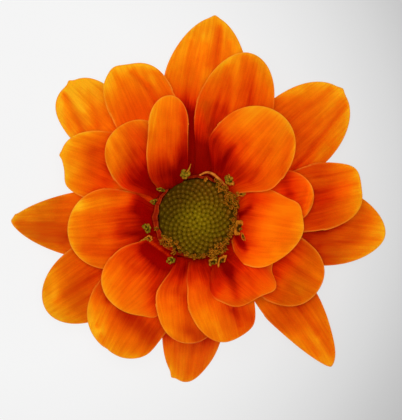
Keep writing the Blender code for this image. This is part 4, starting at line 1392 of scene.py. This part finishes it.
def make_stalk():
    """The short stalk, with its ribs and its flat cut."""
    profile = [(0.0, 0.0), (0.6, 0.0), (1.2, 0.0), (1.7, 0.0), (2.1, 0.0), (2.2, 0.05)]
    for z in np.linspace(0.3, 3.3, 20):
        profile.append((2.22 + 0.23 * (z / 3.2) ** 1.5, z))
    profile.append((2.1, 3.7))
    profile.append((0.0, 3.7))

    def ribbed(radius, height, angle):
        outer = smooth_step((radius - 1.2) / 0.8)
        wave = 0.12 * np.cos(5 * angle) + 0.035 * np.cos(20 * angle + 0.4)
        return radius + outer * (wave - 0.03), height

    points, faces = lathe(profile, 100, ribbed)
    radius = np.hypot(points[:, 0], points[:, 1])
    angle = np.arctan2(points[:, 1], points[:, 0])
    fields = {
        "radius": radius,
        "round": np.abs(angle) * 2.3,
        "rise": points[:, 2],
        "wall": (points[:, 2] > 0.02).astype(float),
    }
    dress(solid("stalk", points, faces, stalk_material(), fields), "stalk", "flower_stalk")


make_stalk()


# Floor, lights and camera

CAMERA_HEIGHT = 0.9
FRAME_WIDTH = 0.0804
FRAME_PLANE = 0.01
SENSOR = 36.0
# Painted light on the floor: its brightness at each distance in millimetres from its brightest place.
FLOOR_LIGHT_FALLOFF = (
    (38, 0.905), (48, 0.886), (56, 0.86), (64, 0.819), (72, 0.76), (80, 0.68), (88, 0.577), (96, 0.49),
    (110, 0.44),
)


def make_floor():
    """A pale floor that glows by its own emission, painted darker to the right as if the light fell off
    there, so that it hardly takes a shadow.
    """
    nodes = Nodes("floor_painted_glow", {"Roughness": 0.9, "Specular IOR Level": 0.0, "Emission Strength": 1.0})
    brightest = (-39.4 * MM, 7.4 * MM, 0.0)
    away = nodes.add("VectorMath", {0: nodes.place(), 1: brightest}, operation="DISTANCE").outputs["Value"]
    fall = []
    for distance, tone in FLOOR_LIGHT_FALLOFF:
        fall.append((distance / FLOOR_LIGHT_FALLOFF[-1][0], (tone, tone, tone)))
    tone = nodes.ramp(nodes.calc("DIVIDE", away, FLOOR_LIGHT_FALLOFF[-1][0] * MM), fall)
    # Painted light: most of the floor's brightness is its own glow, not light that falls on it.
    nodes.feed(nodes.shader.inputs["Emission Color"], nodes.mix(1.0, tone, (0.93, 0.93, 0.93), "MULTIPLY"))
    nodes.feed(nodes.shader.inputs["Base Color"], nodes.mix(1.0, tone, (0.07, 0.07, 0.07), "MULTIPLY"))
    size = 1500.0
    corners = [(-size, -size, 0), (size, -size, 0), (size, size, 0), (-size, size, 0)]
    solid("floor", corners, [[0, 1, 2, 3]], nodes.material)


def make_light(name, place, size, energy):
    lamp = bpy.data.lights.new(name, "AREA")
    lamp.shape = "DISK"
    lamp.size = size
    lamp.energy = energy
    obj = bpy.data.objects.new(name, lamp)
    obj.location = place
    obj.rotation_euler = (-Vector(place)).to_track_quat("-Z", "Y").to_euler()
    bpy.context.scene.collection.objects.link(obj)


def make_camera():
    data = bpy.data.cameras.new("camera")
    data.sensor_fit = "HORIZONTAL"
    data.sensor_width = SENSOR
    data.lens = SENSOR * (CAMERA_HEIGHT - FRAME_PLANE) / FRAME_WIDTH
    data.clip_start = 0.01
    obj = bpy.data.objects.new("camera", data)
    obj.location = (0.0008, 0.0014, CAMERA_HEIGHT)
    bpy.context.scene.collection.objects.link(obj)
    bpy.context.scene.camera = obj


make_floor()
make_light("key", (-0.03, 0.05, 0.6), 0.4, 2.4)
make_camera()
world = bpy.data.worlds.new("studio")
world.use_nodes = True
world.node_tree.nodes["Background"].inputs["Color"].default_value = (1.0, 1.0, 1.0, 1.0)
world.node_tree.nodes["Background"].inputs["Strength"].default_value = 0.5
bpy.context.scene.world = world
bpy.context.scene.view_settings.view_transform = "Standard"
